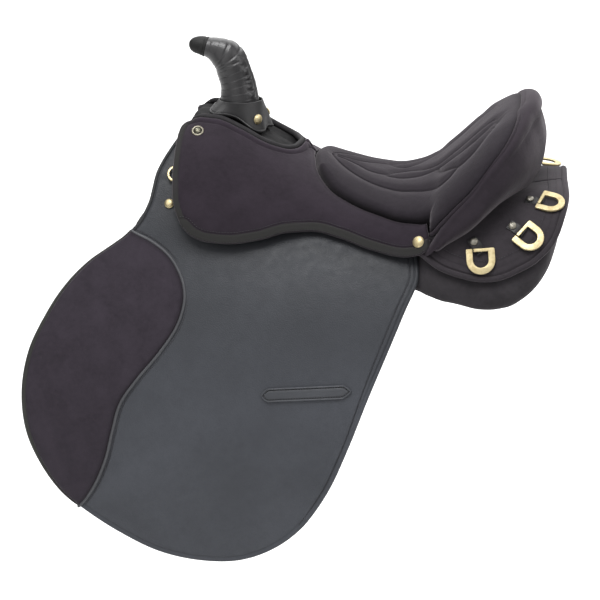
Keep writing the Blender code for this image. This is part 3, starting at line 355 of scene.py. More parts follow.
def tube(name, pts, radius, mats, sides=14, flat=1.0, normals=None, caps=True, bump=None, attrs=None):
    """Round or oval cord along pts; radius may be one number a point; closed with domed ends."""
    p = np.asarray(pts, float)
    n = len(p)
    r = np.broadcast_to(np.asarray(radius, float), (n,)).copy()
    t = np.gradient(p, axis=0)
    t /= np.linalg.norm(t, axis=1, keepdims=True)
    if normals is None:
        ref = np.array([0, 0, 1.]) if abs(t[0][2]) < .9 else np.array([1., 0, 0])
        b = ref - t[0] * (ref @ t[0])
        ns = [b / np.linalg.norm(b)]
        for i in range(1, n):
            b = ns[-1] - t[i] * (ns[-1] @ t[i])
            ns.append(b / np.linalg.norm(b))
        normals = np.array(ns)
    else:
        normals = np.asarray(normals, float)
        normals = normals - t * np.sum(normals * t, 1, keepdims=True)
        normals /= np.linalg.norm(normals, axis=1, keepdims=True)
    side = np.cross(t, normals)
    if caps:
        add = 4
        q0 = [p[0] - t[0] * r[0] * flat * sin(a) for a in np.linspace(pi / 2, 0, add, endpoint=False)]
        q1 = [p[-1] + t[-1] * r[-1] * flat * sin(a) for a in np.linspace(0, pi / 2, add + 1)[1:]]
        s0 = [max(cos(a), .02) for a in np.linspace(pi / 2, 0, add, endpoint=False)]
        s1 = [max(cos(a), .02) for a in np.linspace(0, pi / 2, add + 1)[1:]]
        p = np.concatenate([q0, p, q1])
        r = np.concatenate([np.array(s0) * r[0], r, np.array(s1) * r[-1]])
        normals = np.concatenate([np.repeat(normals[:1], add, 0), normals, np.repeat(normals[-1:], add, 0)])
        side = np.concatenate([np.repeat(side[:1], add, 0), side, np.repeat(side[-1:], add, 0)])
        n = len(p)
    a = np.linspace(0, 2 * pi, sides, endpoint=False)
    ring = (p[:, None] + side[:, None] * (r[:, None] * np.cos(a))[..., None]
            + normals[:, None] * (r[:, None] * flat * np.sin(a))[..., None])
    verts = ring.reshape(-1, 3)
    idx = np.arange(n * sides).reshape(n, sides)
    idx = np.concatenate([idx, idx[:, :1]], 1)
    f = quads(idx)
    m0, m1 = len(verts), len(verts) + 1
    verts = np.concatenate([verts, [ring[0].mean(0)], [ring[-1].mean(0)]])
    ends = [[m0, idx[0, k + 1], idx[0, k], idx[0, k]] for k in range(sides)]
    ends += [[m1, idx[-1, k], idx[-1, k + 1], idx[-1, k + 1]] for k in range(sides)]
    f4 = f
    if volume(verts, f4) < 0:
        f4 = f4[:, ::-1]
        ends = [e[::-1] for e in ends]
    me_faces = f4.tolist() + [list(dict.fromkeys(e)) for e in ends]
    me = bpy.data.meshes.new(name)
    me.from_pydata(verts.tolist(), [], me_faces)
    for m in mats if isinstance(mats, (list, tuple)) else [mats]:
        me.materials.append(m)
    me.shade_smooth()
    ob = bpy.data.objects.new(name, me)
    SCENE.collection.objects.link(ob)
    return ob


def rings(name, P, mats, cell=None, attrs=None, closed=False):
    """Closed body lofted through rings P[i, k]; each end closes on its middle unless closed is set."""
    n, m, _ = P.shape
    verts = P.reshape(-1, 3)
    idx = np.arange(n * m).reshape(n, m)
    idx = np.concatenate([idx, idx[:, :1]], 1)
    if closed:
        idx = np.concatenate([idx, idx[:1]], 0)
    f = quads(idx)
    extra = []
    if not closed:
        verts = np.concatenate([verts, [P[0].mean(0)], [P[-1].mean(0)]])
        for k in range(m):
            extra.append([n * m, int(idx[0, k + 1]), int(idx[0, k])])
            extra.append([n * m + 1, int(idx[-1, k]), int(idx[-1, k + 1])])
    if volume(verts, f) < 0:
        f = f[:, ::-1]
        extra = [e[::-1] for e in extra]
    me = bpy.data.meshes.new(name)
    me.from_pydata(verts.tolist(), [], f.tolist() + extra)
    for mt in mats if isinstance(mats, (list, tuple)) else [mats]:
        me.materials.append(mt)
    if cell is not None:
        c = np.concatenate([np.asarray(cell).ravel()[:len(f)], np.zeros(len(extra), int)])
        me.polygons.foreach_set("material_index", c.astype(np.int32))
    for key, val in (attrs or {}).items():
        at = me.attributes.new(key, "FLOAT", "POINT")
        val = np.asarray(val).ravel()
        at.data.foreach_set("value", np.concatenate([val, np.zeros(len(verts) - len(val))]).astype(np.float32))
    me.shade_smooth()
    me.update()
    ob = bpy.data.objects.new(name, me)
    SCENE.collection.objects.link(ob)
    return ob


def placed(origin, n, along):
    """Placement with local Z on n and local Y close to along."""
    n = Vector(n).normalized()
    b = Vector(along)
    b = (b - n * b.dot(n)).normalized()
    m = Matrix((b.cross(n), b, n)).transposed().to_4x4()
    m.translation = Vector(origin)
    return m


def turned(name, place, profile, mats, sides=40, index=None, scale=1.0):
    """Body turned from profile (radius, height), with a material for each step of it."""
    verts, faces, mi = [], [], []
    rows = []
    for r, z in profile:
        if r < 1e-7:
            rows.append([len(verts)])
            verts.append((0, 0, z))
        else:
            rows.append(list(range(len(verts), len(verts) + sides)))
            verts += [(r * scale * cos(2 * pi * k / sides), r * scale * sin(2 * pi * k / sides), z) for k in range(sides)]
    for i in range(len(rows) - 1):
        a, b = rows[i], rows[i + 1]
        for k in range(sides):
            k2 = (k + 1) % sides
            if len(a) == 1:
                faces.append([a[0], b[k], b[k2]])
            elif len(b) == 1:
                faces.append([a[k2], a[k], b[0]])
            else:
                faces.append([a[k2], a[k], b[k], b[k2]])
            mi.append(index[i] if index else 0)
    me = bpy.data.meshes.new(name)
    me.from_pydata(verts, [], faces)
    for m in mats if isinstance(mats, (list, tuple)) else [mats]:
        me.materials.append(m)
    me.polygons.foreach_set("material_index", mi)
    me.transform(place)
    bm = bmesh.new()
    bm.from_mesh(me)
    bmesh.ops.recalc_face_normals(bm, faces=bm.faces[:])
    bm.to_mesh(me)
    bm.free()
    me.shade_smooth()
    me.set_sharp_from_angle(angle=radians(50))
    ob = bpy.data.objects.new(name, me)
    SCENE.collection.objects.link(ob)
    return ob


def mirrored(ob, name):
    """The off-side copy of a near-side piece."""
    me = ob.data.copy()
    me.name = name
    me.transform(Matrix.Diagonal((1, -1, 1, 1)))
    me.flip_normals()
    new = bpy.data.objects.new(name, me)
    SCENE.collection.objects.link(new)
    return new


def settle(ob, body, nodes=()):
    """Put the piece on its body and hide the nodes that it stands for."""
    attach(ob, body)
    if nodes:
        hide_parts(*nodes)
    return ob


def pair(ob, name, body, nodes):
    """Settle a near-side piece and its off-side copy; {} in the names stands for the side."""
    other = mirrored(ob, name.format("right"))
    settle(ob, body.format("left"), [n.format("left") for n in nodes])
    settle(other, body.format("right"), [n.format("right") for n in nodes])
    return ob, other


def near_line(P, line, chunk=6000):
    """Distance from each point of P to a polyline."""
    q = P.reshape(-1, 3)
    a, b = line[:-1], line[1:]
    d = b - a
    dd = np.maximum((d * d).sum(1), 1e-12)
    out = np.empty(len(q))
    for i in range(0, len(q), chunk):
        w = q[i:i + chunk, None] - a[None]
        t = np.clip((w * d).sum(2) / dd, 0, 1)
        out[i:i + chunk] = np.sqrt(((w - t[..., None] * d) ** 2).sum(2).min(1))
    return out.reshape(P.shape[:-1])


def wander(P, scale, seed):
    """Smooth unevenness of a surface, about -1 to 1, from a few waves."""
    rng = np.random.default_rng(seed)
    out = 0
    for k in range(7):
        w = rng.normal(size=3)
        w *= (.6 + .8 * rng.random()) / (scale * np.linalg.norm(w))
        out = out + np.sin(P @ w * 2 * pi + rng.random() * 6.28)
    return out / 2.6


# ---------------------------------------------------------------- materials
def shader(name, rough=.6, metal=0.0, spec=.5, sheen=0.0, sheen_rough=.5, sheen_tint=(1, 1, 1), coat=0.0, coat_rough=.1,
           aniso=0.0):
    m = bpy.data.materials.new(name)
    m.use_nodes = True
    nt = m.node_tree
    b = nt.nodes["Principled BSDF"]
    b.inputs["Roughness"].default_value = rough
    b.inputs["Metallic"].default_value = metal
    b.inputs["Specular IOR Level"].default_value = spec
    b.inputs["Sheen Weight"].default_value = sheen
    b.inputs["Sheen Roughness"].default_value = sheen_rough
    b.inputs["Sheen Tint"].default_value = (*sheen_tint, 1)
    b.inputs["Coat Weight"].default_value = coat
    b.inputs["Coat Roughness"].default_value = coat_rough
    b.inputs["Anisotropic"].default_value = aniso
    return m, nt, b


def node(nt, kind, **kw):
    n = nt.nodes.new(kind)
    for k, v in kw.items():
        if k in n.inputs:
            n.inputs[k].default_value = v
        else:
            setattr(n, k, v)
    return n


def link(nt, a, b):
    nt.links.new(a, b)


def noise(nt, co, scale, detail=2.0, rough=.55, distort=0.0):
    n = nt.nodes.new("ShaderNodeTexNoise")
    n.inputs["Scale"].default_value = scale
    n.inputs["Detail"].default_value = detail
    n.inputs["Roughness"].default_value = rough
    n.inputs["Distortion"].default_value = distort
    link(nt, co, n.inputs["Vector"])
    return n.outputs["Fac"]


def cells(nt, co, scale, feature="F1", out="Distance"):
    n = nt.nodes.new("ShaderNodeTexVoronoi")
    n.feature = feature
    n.inputs["Scale"].default_value = scale
    link(nt, co, n.inputs["Vector"])
    return n.outputs[out]


def span(nt, v, a, b, c, d):
    n = nt.nodes.new("ShaderNodeMapRange")
    n.inputs["From Min"].default_value, n.inputs["From Max"].default_value = a, b
    n.inputs["To Min"].default_value, n.inputs["To Max"].default_value = c, d
    link(nt, v, n.inputs["Value"])
    return n.outputs["Result"]


def mixed(nt, fac, a, b, kind="MIX"):
    """Colour mix; a and b are colours or sockets, fac a number or a socket."""
    n = nt.nodes.new("ShaderNodeMix")
    n.data_type = "RGBA"
    n.blend_type = kind
    for sock, v in (("Factor", fac), ("A", a), ("B", b)):
        s = [i for i in n.inputs if i.name == sock and i.type == ("VALUE" if sock == "Factor" else "RGBA")][0]
        if isinstance(v, bpy.types.NodeSocket):
            link(nt, v, s)
        elif sock == "Factor":
            s.default_value = v
        else:
            s.default_value = (*v, 1)
    return [o for o in n.outputs if o.type == "RGBA"][0]


def sums(nt, a, b, op="ADD", k=None):
    n = nt.nodes.new("ShaderNodeMath")
    n.operation = op
    for i, v in enumerate((a, b) if k is None else (a, b, k)):
        if isinstance(v, bpy.types.NodeSocket):
            link(nt, v, n.inputs[i])
        else:
            n.inputs[i].default_value = v
    return n.outputs[0]


def bump(nt, b, *layers):
    """Bump from (height socket, distance in metres, strength) layers."""
    prev = None
    for h, dist, strength in layers:
        n = nt.nodes.new("ShaderNodeBump")
        n.inputs["Strength"].default_value = strength
        n.inputs["Distance"].default_value = dist
        link(nt, h, n.inputs["Height"])
        if prev:
            link(nt, prev, n.inputs["Normal"])
        prev = n.outputs["Normal"]
    link(nt, prev, b.inputs["Normal"])


def coords(nt):
    return nt.nodes.new("ShaderNodeTexCoord").outputs["Object"]


def mark(nt, name):
    n = nt.nodes.new("ShaderNodeAttribute")
    n.attribute_name = name
    return n.outputs["Fac"]


def scaled(c, k):
    return tuple(min(1, v * k) for v in c)


def suede(name, base, spread_=.30, sheen=.30, seam_and_shade=.42, band=None):
    """Brushed leather: short nap in patches, fine speckle, dark seams and painted shade, paler rubbed places and
    painted highlights.
    """
    m, nt, b = shader(name, rough=.93, spec=.12, sheen=sheen, sheen_rough=.42, sheen_tint=(1, .93, .98))
    co = coords(nt)
    nap = noise(nt, co, 26, 3, .6, .8)
    mid = noise(nt, co, 150, 3, .6)
    fine = noise(nt, co, 1500, 2, .7)
    c = mixed(nt, span(nt, nap, .32, .68, 0, 1), scaled(base, 1 - spread_), scaled(base, 1 + spread_))
    c = mixed(nt, span(nt, mid, .35, .65, 0, .5), c, scaled(base, 1.35))
    c = mixed(nt, span(nt, fine, .3, .7, 0, .55), c, scaled(base, .62))
    if band:
        c = mixed(nt, mark(nt, "band"), c, band)
    # paler where marked: rubbed places, and painted highlights on some crests and edges
    c = mixed(nt, sums(nt, mark(nt, "wear_and_highlight"), .55, "MULTIPLY"), c, scaled(base, 1.7))
    # darker where marked: seams, and painted shade in hollows, under parts and between parts
    c = mixed(nt, sums(nt, mark(nt, "seam_and_shade"), 1 - seam_and_shade, "MULTIPLY"), c, scaled(base, .22))
    link(nt, c, b.inputs["Base Color"])
    bump(nt, b, (mid, .0011, .28), (fine, .00035, .5))
    return m


def grained(name, base, rough=.5, spec=.42, pebble=620, depth=.00045, seam_and_shade=.35, coat=0.0, vary=.16, worn_and_highlit=1.35, band=None):
    """Finished leather with a pebbled grain, slightly uneven in colour and gloss."""
    m, nt, b = shader(name, spec=spec, coat=coat, coat_rough=.32)
    co = coords(nt)
    soft = noise(nt, co, 9, 3, .5, .4)
    mid = noise(nt, co, 85, 4, .6)
    peb = cells(nt, co, pebble, "F1")
    fine = noise(nt, co, 2300, 2, .6)
    c = mixed(nt, span(nt, soft, .3, .7, 0, 1), scaled(base, 1 - vary), scaled(base, 1 + vary))
    c = mixed(nt, span(nt, mid, .4, .7, 0, .35), c, scaled(base, .8))
    c = mixed(nt, span(nt, peb, .0, .9, 0, .45), c, scaled(base, .72))
    if band:
        c = mixed(nt, mark(nt, "band"), c, band)
    # paler where marked: rubbed places, and painted highlights on some edges
    c = mixed(nt, sums(nt, mark(nt, "wear_and_highlight"), .6, "MULTIPLY"), c, scaled(base, worn_and_highlit))
    # darker where marked: seams, and painted shade under the jockey and in hollows
    c = mixed(nt, sums(nt, mark(nt, "seam_and_shade"), 1 - seam_and_shade, "MULTIPLY"), c, scaled(base, .2))
    link(nt, c, b.inputs["Base Color"])
    r = sums(nt, span(nt, mid, .3, .7, rough - .07, rough + .08), span(nt, fine, .3, .7, -.02, .03))
    link(nt, r, b.inputs["Roughness"])
    bump(nt, b, (soft, .004, .10), (peb, depth, .45), (fine, .00015, .3))
    return m


def metal(name, base, rough, tarnish, amount=.5, scratch=.3):
    """Cast and tumbled metal: cloudy tarnish, fine scratches, dull hollows."""
    m, nt, b = shader(name, metal=1.0)
    co = coords(nt)
    cloud = noise(nt, co, 120, 4, .6, .5)
    pit = noise(nt, co, 900, 3, .7)
    st = nt.nodes.new("ShaderNodeMapping")
    st.inputs["Scale"].default_value = (4000, 260, 900)
    st.inputs["Rotation"].default_value = (.3, .5, .8)
    link(nt, co, st.inputs["Vector"])
    line = noise(nt, st.outputs["Vector"], 1.0, 1, .5)
    c = mixed(nt, span(nt, cloud, .45, .75, 0, amount), base, tarnish)
    c = mixed(nt, span(nt, pit, .55, .8, 0, amount * .7), c, scaled(tarnish, .8))
    link(nt, c, b.inputs["Base Color"])
    r = sums(nt, span(nt, cloud, .3, .7, rough - .05, rough + .12), span(nt, line, .3, .7, -.04, .05))
    link(nt, r, b.inputs["Roughness"])
    bump(nt, b, (pit, .00012, .35), (line, .00006, scratch))
    return m


def plain_thread(name, base):
    m, nt, b = shader(name, rough=.62, spec=.3)
    co = coords(nt)
    tw = noise(nt, co, 2600, 2, .6)
    c = mixed(nt, span(nt, tw, .3, .7, 0, 1), scaled(base, .6), scaled(base, 1.25))
    link(nt, c, b.inputs["Base Color"])
    bump(nt, b, (tw, .0002, .5))
    return m


SUEDE = (.0285, .0220, .0300)
M_JOCKEY = suede("jockey_suede", scaled(SUEDE, .70), .15, .2, band=(.0225, .0222, .0215))
# the seat's copy of the suede is made darker: painted shade, so that its upward face, which catches more of the lamps,
# is no lighter than the jockeys' sides
M_SEAT = suede("seat_suede", scaled((.0300, .0250, .0315), .56), .14, .16, seam_and_shade=.30)
M_CANTLE = suede("cantle_suede", (.0215, .0172, .0218), .14, .18)
M_SKIRT = suede("skirt_suede", (.0310, .0272, .0312), .15, .2)
M_KNEE = suede("knee_suede", (.0295, .0243, .0318), .14, .25)
M_BIND = grained("edge_binding", (.0165, .0170, .0155), rough=.62, spec=.28, pebble=900, depth=.0003)
M_RIM = grained("rim_binding", (.0200, .0188, .0204), rough=.72, spec=.2, pebble=900, depth=.0003)
M_FLAP = grained("flap_leather", (.0475, .0510, .0600), rough=.56, spec=.30, pebble=560, depth=.0005, band=(.0230, .0240, .0255))
M_FLAP_EDGE = grained("flap_edge", (.0270, .0290, .0330), rough=.55, spec=.3, pebble=700, depth=.0003)
M_KEEPER = grained("keeper_leather", (.0500, .0530, .0600), rough=.5, spec=.34, pebble=700, depth=.0003)
M_PIPING = grained("knee_piping", (.062, .063, .069), rough=.5, spec=.35, pebble=1200, depth=.0002)
M_HORN = grained("horn_leather", (.0185, .0178, .0192), rough=.37, spec=.52, pebble=820, depth=.00022, coat=.22)
M_CAP = grained("horn_cap_leather", (.0075, .0075, .0075), rough=.62, spec=.3, pebble=700, depth=.0003)
M_COLLAR = grained("collar_leather", (.0190, .0185, .0195), rough=.50, spec=.34, pebble=900, depth=.0002, coat=.06)
M_SWELL = grained("pommel_leather", (.0072, .0068, .0075), rough=.78, spec=.15, pebble=760, depth=.0003)
M_INNER = grained("inner_leather", (.0300, .0290, .0300), rough=.66, spec=.25, pebble=520, depth=.0005)
M_STRAP = grained("strap_leather", (.0230, .0220, .0230), rough=.5, spec=.35, pebble=620, depth=.0003)
M_PANEL = suede("panel_lining", (.0300, .0275, .0305), spread_=.22, sheen=.2)
M_THREAD = plain_thread("thread_grey", (.085, .085, .092))
M_THREAD_DARK = plain_thread("thread_dark", (.030, .028, .032))
M_BRASS = metal("brass", (.60, .515, .31), .50, (.34, .255, .115), .62)
M_OLD = metal("antique_brass", (.40, .37, .30), .40, (.13, .11, .08), .8)
M_RING = metal("screw_washer", (.215, .200, .160), .48, (.10, .09, .07), .7)
M_BOSS = metal("screw_boss", (.16, .155, .115), .50, (.06, .055, .04), .8)
M_NICKEL = metal("washer_nickel", (.30, .285, .245), .46, (.15, .135, .11), .6)
M_STEEL = metal("steel_plate", (.50, .51, .53), .36, (.22, .21, .20), .5)
M_DARK = grained("recess", (.006, .006, .006), rough=.7, spec=.2, pebble=900, depth=.0002)


def fibreglass(name):
    """Moulded tree shell: glossy resin with woven fibre showing faintly."""
    m, nt, b = shader(name, spec=.45, coat=.2, coat_rough=.2)
    co = coords(nt)
    w = nt.nodes.new("ShaderNodeTexBrick")
    w.inputs["Scale"].default_value = 160
    w.inputs["Mortar Size"].default_value = .03
    link(nt, co, w.inputs["Vector"])
    cloud = noise(nt, co, 14, 3, .6)
    c = mixed(nt, span(nt, cloud, .3, .7, 0, 1), (.040, .039, .036), (.075, .072, .066))
    c = mixed(nt, sums(nt, w.outputs["Fac"], .35, "MULTIPLY"), c, (.022, .022, .021))
    link(nt, c, b.inputs["Base Color"])
    link(nt, span(nt, cloud, .3, .7, .38, .55), b.inputs["Roughness"])
    bump(nt, b, (w.outputs["Fac"], .0004, .3), (cloud, .002, .2))
    return m


M_TREE = fibreglass("tree_shell")
for node_name, mat in (("tree", M_TREE), ("gullet_plate", M_STEEL), ("horn_core", M_TREE),
                       ("stirrup_bar_left", M_STEEL), ("stirrup_bar_right", M_STEEL),
                       ("stirrup_catch_left", M_STEEL), ("stirrup_catch_right", M_STEEL)):
    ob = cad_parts[node_name]
    if not ob.material_slots:
        ob.data.materials.append(mat)
    for s in ob.material_slots:
        s.material = mat

# ---------------------------------------------------------------- floor and light
me = bpy.data.meshes.new("floor")
me.from_pydata([(-40, -40, -.95), (40, -40, -.95), (40, 60, -.95), (-40, 60, -.95)], [], [(0, 1, 2, 3)])
floor = bpy.data.objects.new("floor", me)
SCENE.collection.objects.link(floor)
m, nt, b = shader("floor_paint", rough=.9, spec=.1)
b.inputs["Base Color"].default_value = (.93, .93, .93, 1)
me.materials.append(m)

world = bpy.data.worlds.new("world")
SCENE.world = world
world.use_nodes = True
world.node_tree.nodes["Background"].inputs[0].default_value = (1, 1, 1, 1)
world.node_tree.nodes["Background"].inputs[1].default_value = WORLD = .30
SCENE.view_settings.view_transform = "Standard"
SCENE.view_settings.look = "None"
SCENE.view_settings.exposure = 0
SCENE.view_settings.gamma = 1


def lamp(name, place, aim, size, watts, colour=(1, 1, 1), size_y=None):
    l = bpy.data.lights.new(name, "AREA")
    l.shape = "RECTANGLE"
    l.size, l.size_y = size, size_y or size
    l.energy = watts
    l.color = colour
    ob = bpy.data.objects.new(name, l)
    SCENE.collection.objects.link(ob)
    ob.location = place
    ob.rotation_mode = "QUATERNION"
    ob.rotation_quaternion = (Vector(place) - Vector(aim)).to_track_quat("Z", "Y")
    return ob


lamp("key", (-.35, -1.05, 2.68), (0, 0, 0), 1.7, 100)
lamp("fill", (-1.2, -2.6, 1.0), (0, 0, -.1), 2.6, 18)
lamp("side", (2.4, -1.2, 1.4), (0, 0, -.05), 1.6, 22)
lamp("floor_wash", (0, 7, 3.5), (0, 7, -.95), 9, 900, size_y=12)


# ---------------------------------------------------------------- stitching
def stitches(name, pts, nrm, mat, pitch=.0036, length=.0026, r=.00036, up=.0002):
    """A row of stitches laid along pts: one small spindle each."""
    p, n = np.asarray(pts, float), np.asarray(nrm, float)
    s = np.concatenate([[0], np.cumsum(np.linalg.norm(np.diff(p, axis=0), axis=1))])
    at = np.arange(pitch / 2, s[-1] - pitch / 2, pitch)
    c = np.stack([np.interp(at, s, p[:, k]) for k in range(3)], 1)
    m = np.stack([np.interp(at, s, n[:, k]) for k in range(3)], 1)
    a = np.stack([np.interp(np.clip(at - .0012, 0, s[-1]), s, p[:, k]) for k in range(3)], 1)
    b = np.stack([np.interp(np.clip(at + .0012, 0, s[-1]), s, p[:, k]) for k in range(3)], 1)
    t = (b - a) / np.maximum(np.linalg.norm(b - a, axis=1, keepdims=True), 1e-9)
    m = m - t * (m * t).sum(1, keepdims=True)
    m /= np.linalg.norm(m, axis=1, keepdims=True)
    w = np.cross(t, m)
    rows = []
    for f, k in ((-.5, .25), (-.28, 1.), (.28, 1.), (.5, .25)):
        for q in range(5):
            g = 2 * pi * q / 5
            rows.append(c + t * (f * length) + m * (up + r * k * sin(g) - (r if k < 1 else 0)) + w * (r * 1.25 * k * cos(g)))
    V = np.stack(rows, 1)
    one = []
    for i in range(3):
        for q in range(5):
            one.append([i * 5 + q, i * 5 + (q + 1) % 5, (i + 1) * 5 + (q + 1) % 5, (i + 1) * 5 + q])
    caps = [[0, 1, 2, 3, 4], [19, 18, 17, 16, 15]]
    N_ = len(at)
    base = (np.arange(N_) * 20)[:, None, None]
    F = (np.array(one)[None] + base).reshape(-1, 4)
    C = (np.array(caps)[None] + base).reshape(-1, 5)
    me = bpy.data.meshes.new(name)
    me.from_pydata(V.reshape(-1, 3).tolist(), [], F.tolist() + C.tolist())
    me.materials.append(mat)
    me.shade_smooth()
    bm = bmesh.new()
    bm.from_mesh(me)
    bmesh.ops.recalc_face_normals(bm, faces=bm.faces[:])
    bm.to_mesh(me)
    bm.free()
    ob = bpy.data.objects.new(name, me)
    SCENE.collection.objects.link(ob)
    return ob


def normals_of(T, like=None):
    """Unit normals of a grid of points."""
    n = np.cross(np.gradient(T, axis=0), np.gradient(T, axis=1))
    n /= np.maximum(np.linalg.norm(n, axis=-1, keepdims=True), 1e-12)
    if like is not None and (n * like).sum() < 0:
        n = -n
    return n


def level_line(T, S, value, lo=0, hi=None, back_=False):
    """Points and normals where S, read down each column of the grid, crosses value."""
    n = normals_of(T)
    pts, nrm = [], []
    for i in range(lo, T.shape[0] if hi is None else hi):
        row = S[i] - value
        hit = np.nonzero(row[:-1] * row[1:] <= 0)[0]
        if not len(hit):
            continue
        j = hit[-1] if back_ else hit[0]
        k = row[j] / (row[j] - row[j + 1] + 1e-15)
        pts.append(T[i, j] * (1 - k) + T[i, j + 1] * k)
        nrm.append(n[i, j])
    return np.array(pts), np.array(nrm)


def joined_piece(name, obs):
    """Several meshes of one finish made one piece."""
    verts, faces, mats, idx, at = [], [], [], [], 0
    for ob in obs:
        me = ob.data
        co = np.empty(len(me.vertices) * 3)
        me.vertices.foreach_get("co", co)
        verts.append(co.reshape(-1, 3))
        for m in me.materials:
            if m not in mats:
                mats.append(m)
        for p in me.polygons:
            faces.append([v + at for v in p.vertices])
            idx.append(mats.index(me.materials[p.material_index]))
        at += len(me.vertices)
        bpy.data.objects.remove(ob, do_unlink=True)
    me = bpy.data.meshes.new(name)
    me.from_pydata(np.concatenate(verts).tolist(), [], faces)
    for m in mats:
        me.materials.append(m)
    me.polygons.foreach_set("material_index", idx)
    me.shade_smooth()
    ob = bpy.data.objects.new(name, me)
    SCENE.collection.objects.link(ob)
    return ob


# ---------------------------------------------------------------- seat
front_cut = Path([(-.0362, 0), (-.0352, .08), (-.0327, .18), (-.0287, .30)])
side_seam = Path([(-.0287, .300), (-.0178, .442), (-.0020, .547), (.0215, .603), (.049, .628),
                  (.076, .640), (.098, .645), (.1215, .672), (.1240, .75), (.1270, .850),
                  (.141, .905), (.157, .930), (.178, .945), (.196, .940)])
rear_cut = Path([(.196, .940), (.2110, .885), (.2225, .77), (.2300, .56), (.2342, .27), (.2352, .0)])
front_all = Path([(x, -t) for x, t in reversed(front_cut.p[1:].tolist())] + front_cut.p.tolist(), 1)
rear_all = Path([(x, -t) for x, t in rear_cut.p[:-1].tolist()] + rear_cut.p.tolist()[::-1], 1)
near_seam = Path(side_seam.p.tolist(), 1)
seat_map = coons(front_all, rear_all, lambda v: near_seam(v) * np.array([1, -1]), near_seam)

# sewn lines of the seat on one half: X, share of the half section
QUILT = [
    [(-.0170, .02), (-.0130, .075), (-.0060, .14), (.0040, .20), (.0150, .25), (.0338, .305), (.055, .338), (.078, .345),
     (.098, .350), (.1156, .375), (.130, .42), (.1405, .470), (.1485, .480), (.1545, .455), (.1600, .430)],
    [(.1600, .430), (.1680, .440), (.178, .430), (.188, .395), (.197, .335), (.203, .26), (.2055, .19), (.2000, .155)],
    [(.2000, .155), (.190, .150), (.175, .140), (.160, .132), (.145, .127), (.130, .118), (.115, .095), (.100, .060),
     (.085, .040), (.070, .065), (.060, .115), (.050, .125), (.035, .110), (.020, .070), (.005, .040), (-.0100, .020)],
    [(.0600, .140), (.073, .152), (.088, .160), (.102, .165), (.115, .168), (.130, .180), (.1477, .212), (.162, .240),
     (.177, .255), (.190, .245), (.2000, .205)],
    [(.1600, .430), (.150, .360), (.141, .300), (.1350, .235), (.1330, .185)],
]


def seat_parts():
    us = spread(150, .300, .012)
    vs = spread(190, .290, .012)
    U, V = grid(us, vs)
    P = seat_map(U, V)
    mid = top(P[..., 0], P[..., 1], 0)
    s = np.minimum.reduce(edges(mid))
    dq = np.full(s.shape, 1.)
    for line in QUILT:
        q = Path(line, 12)(np.linspace(0, 1, 90))
        for sgn in (1, -1):
            dq = np.minimum(dq, near_line(mid, top(q[:, 0], q[:, 1] * sgn, 0)))
    inside = rounded(s, .026)
    lift = (-.0042 + .0094 * rounded(s, .0125) + .0012 * (1 - np.exp(-s / .03))
            + .0026 * (1 - np.exp(-(dq / .0085) ** 2)) * inside
            - .0016 * np.exp(-(dq / .0013) ** 2) * inside
            + .00035 * wander(mid, .055, 3) * inside - .0036 * blend(.135, .205, P[..., 0]) * rounded(s, .012))
    up = top(P[..., 0], P[..., 1], lift)
    # the cushion stands a little over the seam that it is sewn into
    low = top(P[..., 0], P[..., 1], -.0042 - (CUSHION_DEPTH - .0042) * rounded(s, .004))
    low[0], low[-1], low[:, 0], low[:, -1] = up[0], up[-1], up[:, 0], up[:, -1]
    # darker along the quilting lines, and painted shade along the border, where the cushion dives into its seam
    seam_and_shade = np.maximum(np.exp(-(dq / .0015) ** 2) * inside, np.exp(-(s / .0035) ** 2))
    wear_and_highlight = .16 * np.exp(-((P[..., 1]) / .22) ** 2) * inside + .12 * np.clip(wander(mid, .04, 8), 0, 1) * inside
    ob = two_faced("seat", up, low, M_SEAT, attrs={"seam_and_shade": seam_and_shade, "wear_and_highlight": wear_and_highlight})
    settle(ob, "root", ["seat_cushion"])
    return mid


seat_parts()

# ---------------------------------------------------------------- jockeys
RIM_FRONT = (-.1990, .2215)
jockey_top = [RIM_FRONT, *RIM[1:], (-.0465, .005), *SEAM]
jx = [p[0] for p in jockey_top]
top_share = Station(jockey_top)
front_edge = Path([RIM_FRONT, (-.2050, .236), (-.2092, .262), (-.2118, .305), (-.2127, .365), (-.2124, .505), (-.2110, .665), (-.2064, .81),
                   (-.193, .925)])
lower_edge = Path(LOWER)
rear_edge = Path([(.118, .685), (.1205, .78), (.1235, .90), (.125, .985)])
lower_u = Station([(0, -.193), (.12, -.150), (.5, -.045), (.88, .090), (1, .125)])
lower_t = Station(LOWER)
span_x = jx[-1] - jx[0]


def both(a, b):
    return np.stack(np.broadcast_arrays(np.asarray(a, float), np.asarray(b, float)), -1)


jockey_map = coons(lambda u: both(jx[0] + span_x * np.asarray(u), top_share(jx[0] + span_x * np.asarray(u))),
                   lambda u: both(lower_u(u), np.minimum(1.0, lower_t(lower_u(u)))), front_edge, rear_edge)


def crown(x, y, far):
    """How far the U-shaped rim stands over the leather line: most at the bottom of the U."""
    low = np.exp(-((x + .054) / .016) ** 2) * np.exp(-(y / .022) ** 2)
    front = np.exp(-((x + .200) / .0085) ** 2)
    return .0016 + (.0036 * far) * (1 - blend(-.075, -.055, x)) + .0058 * low - (.0022 + .0044 * far) * front


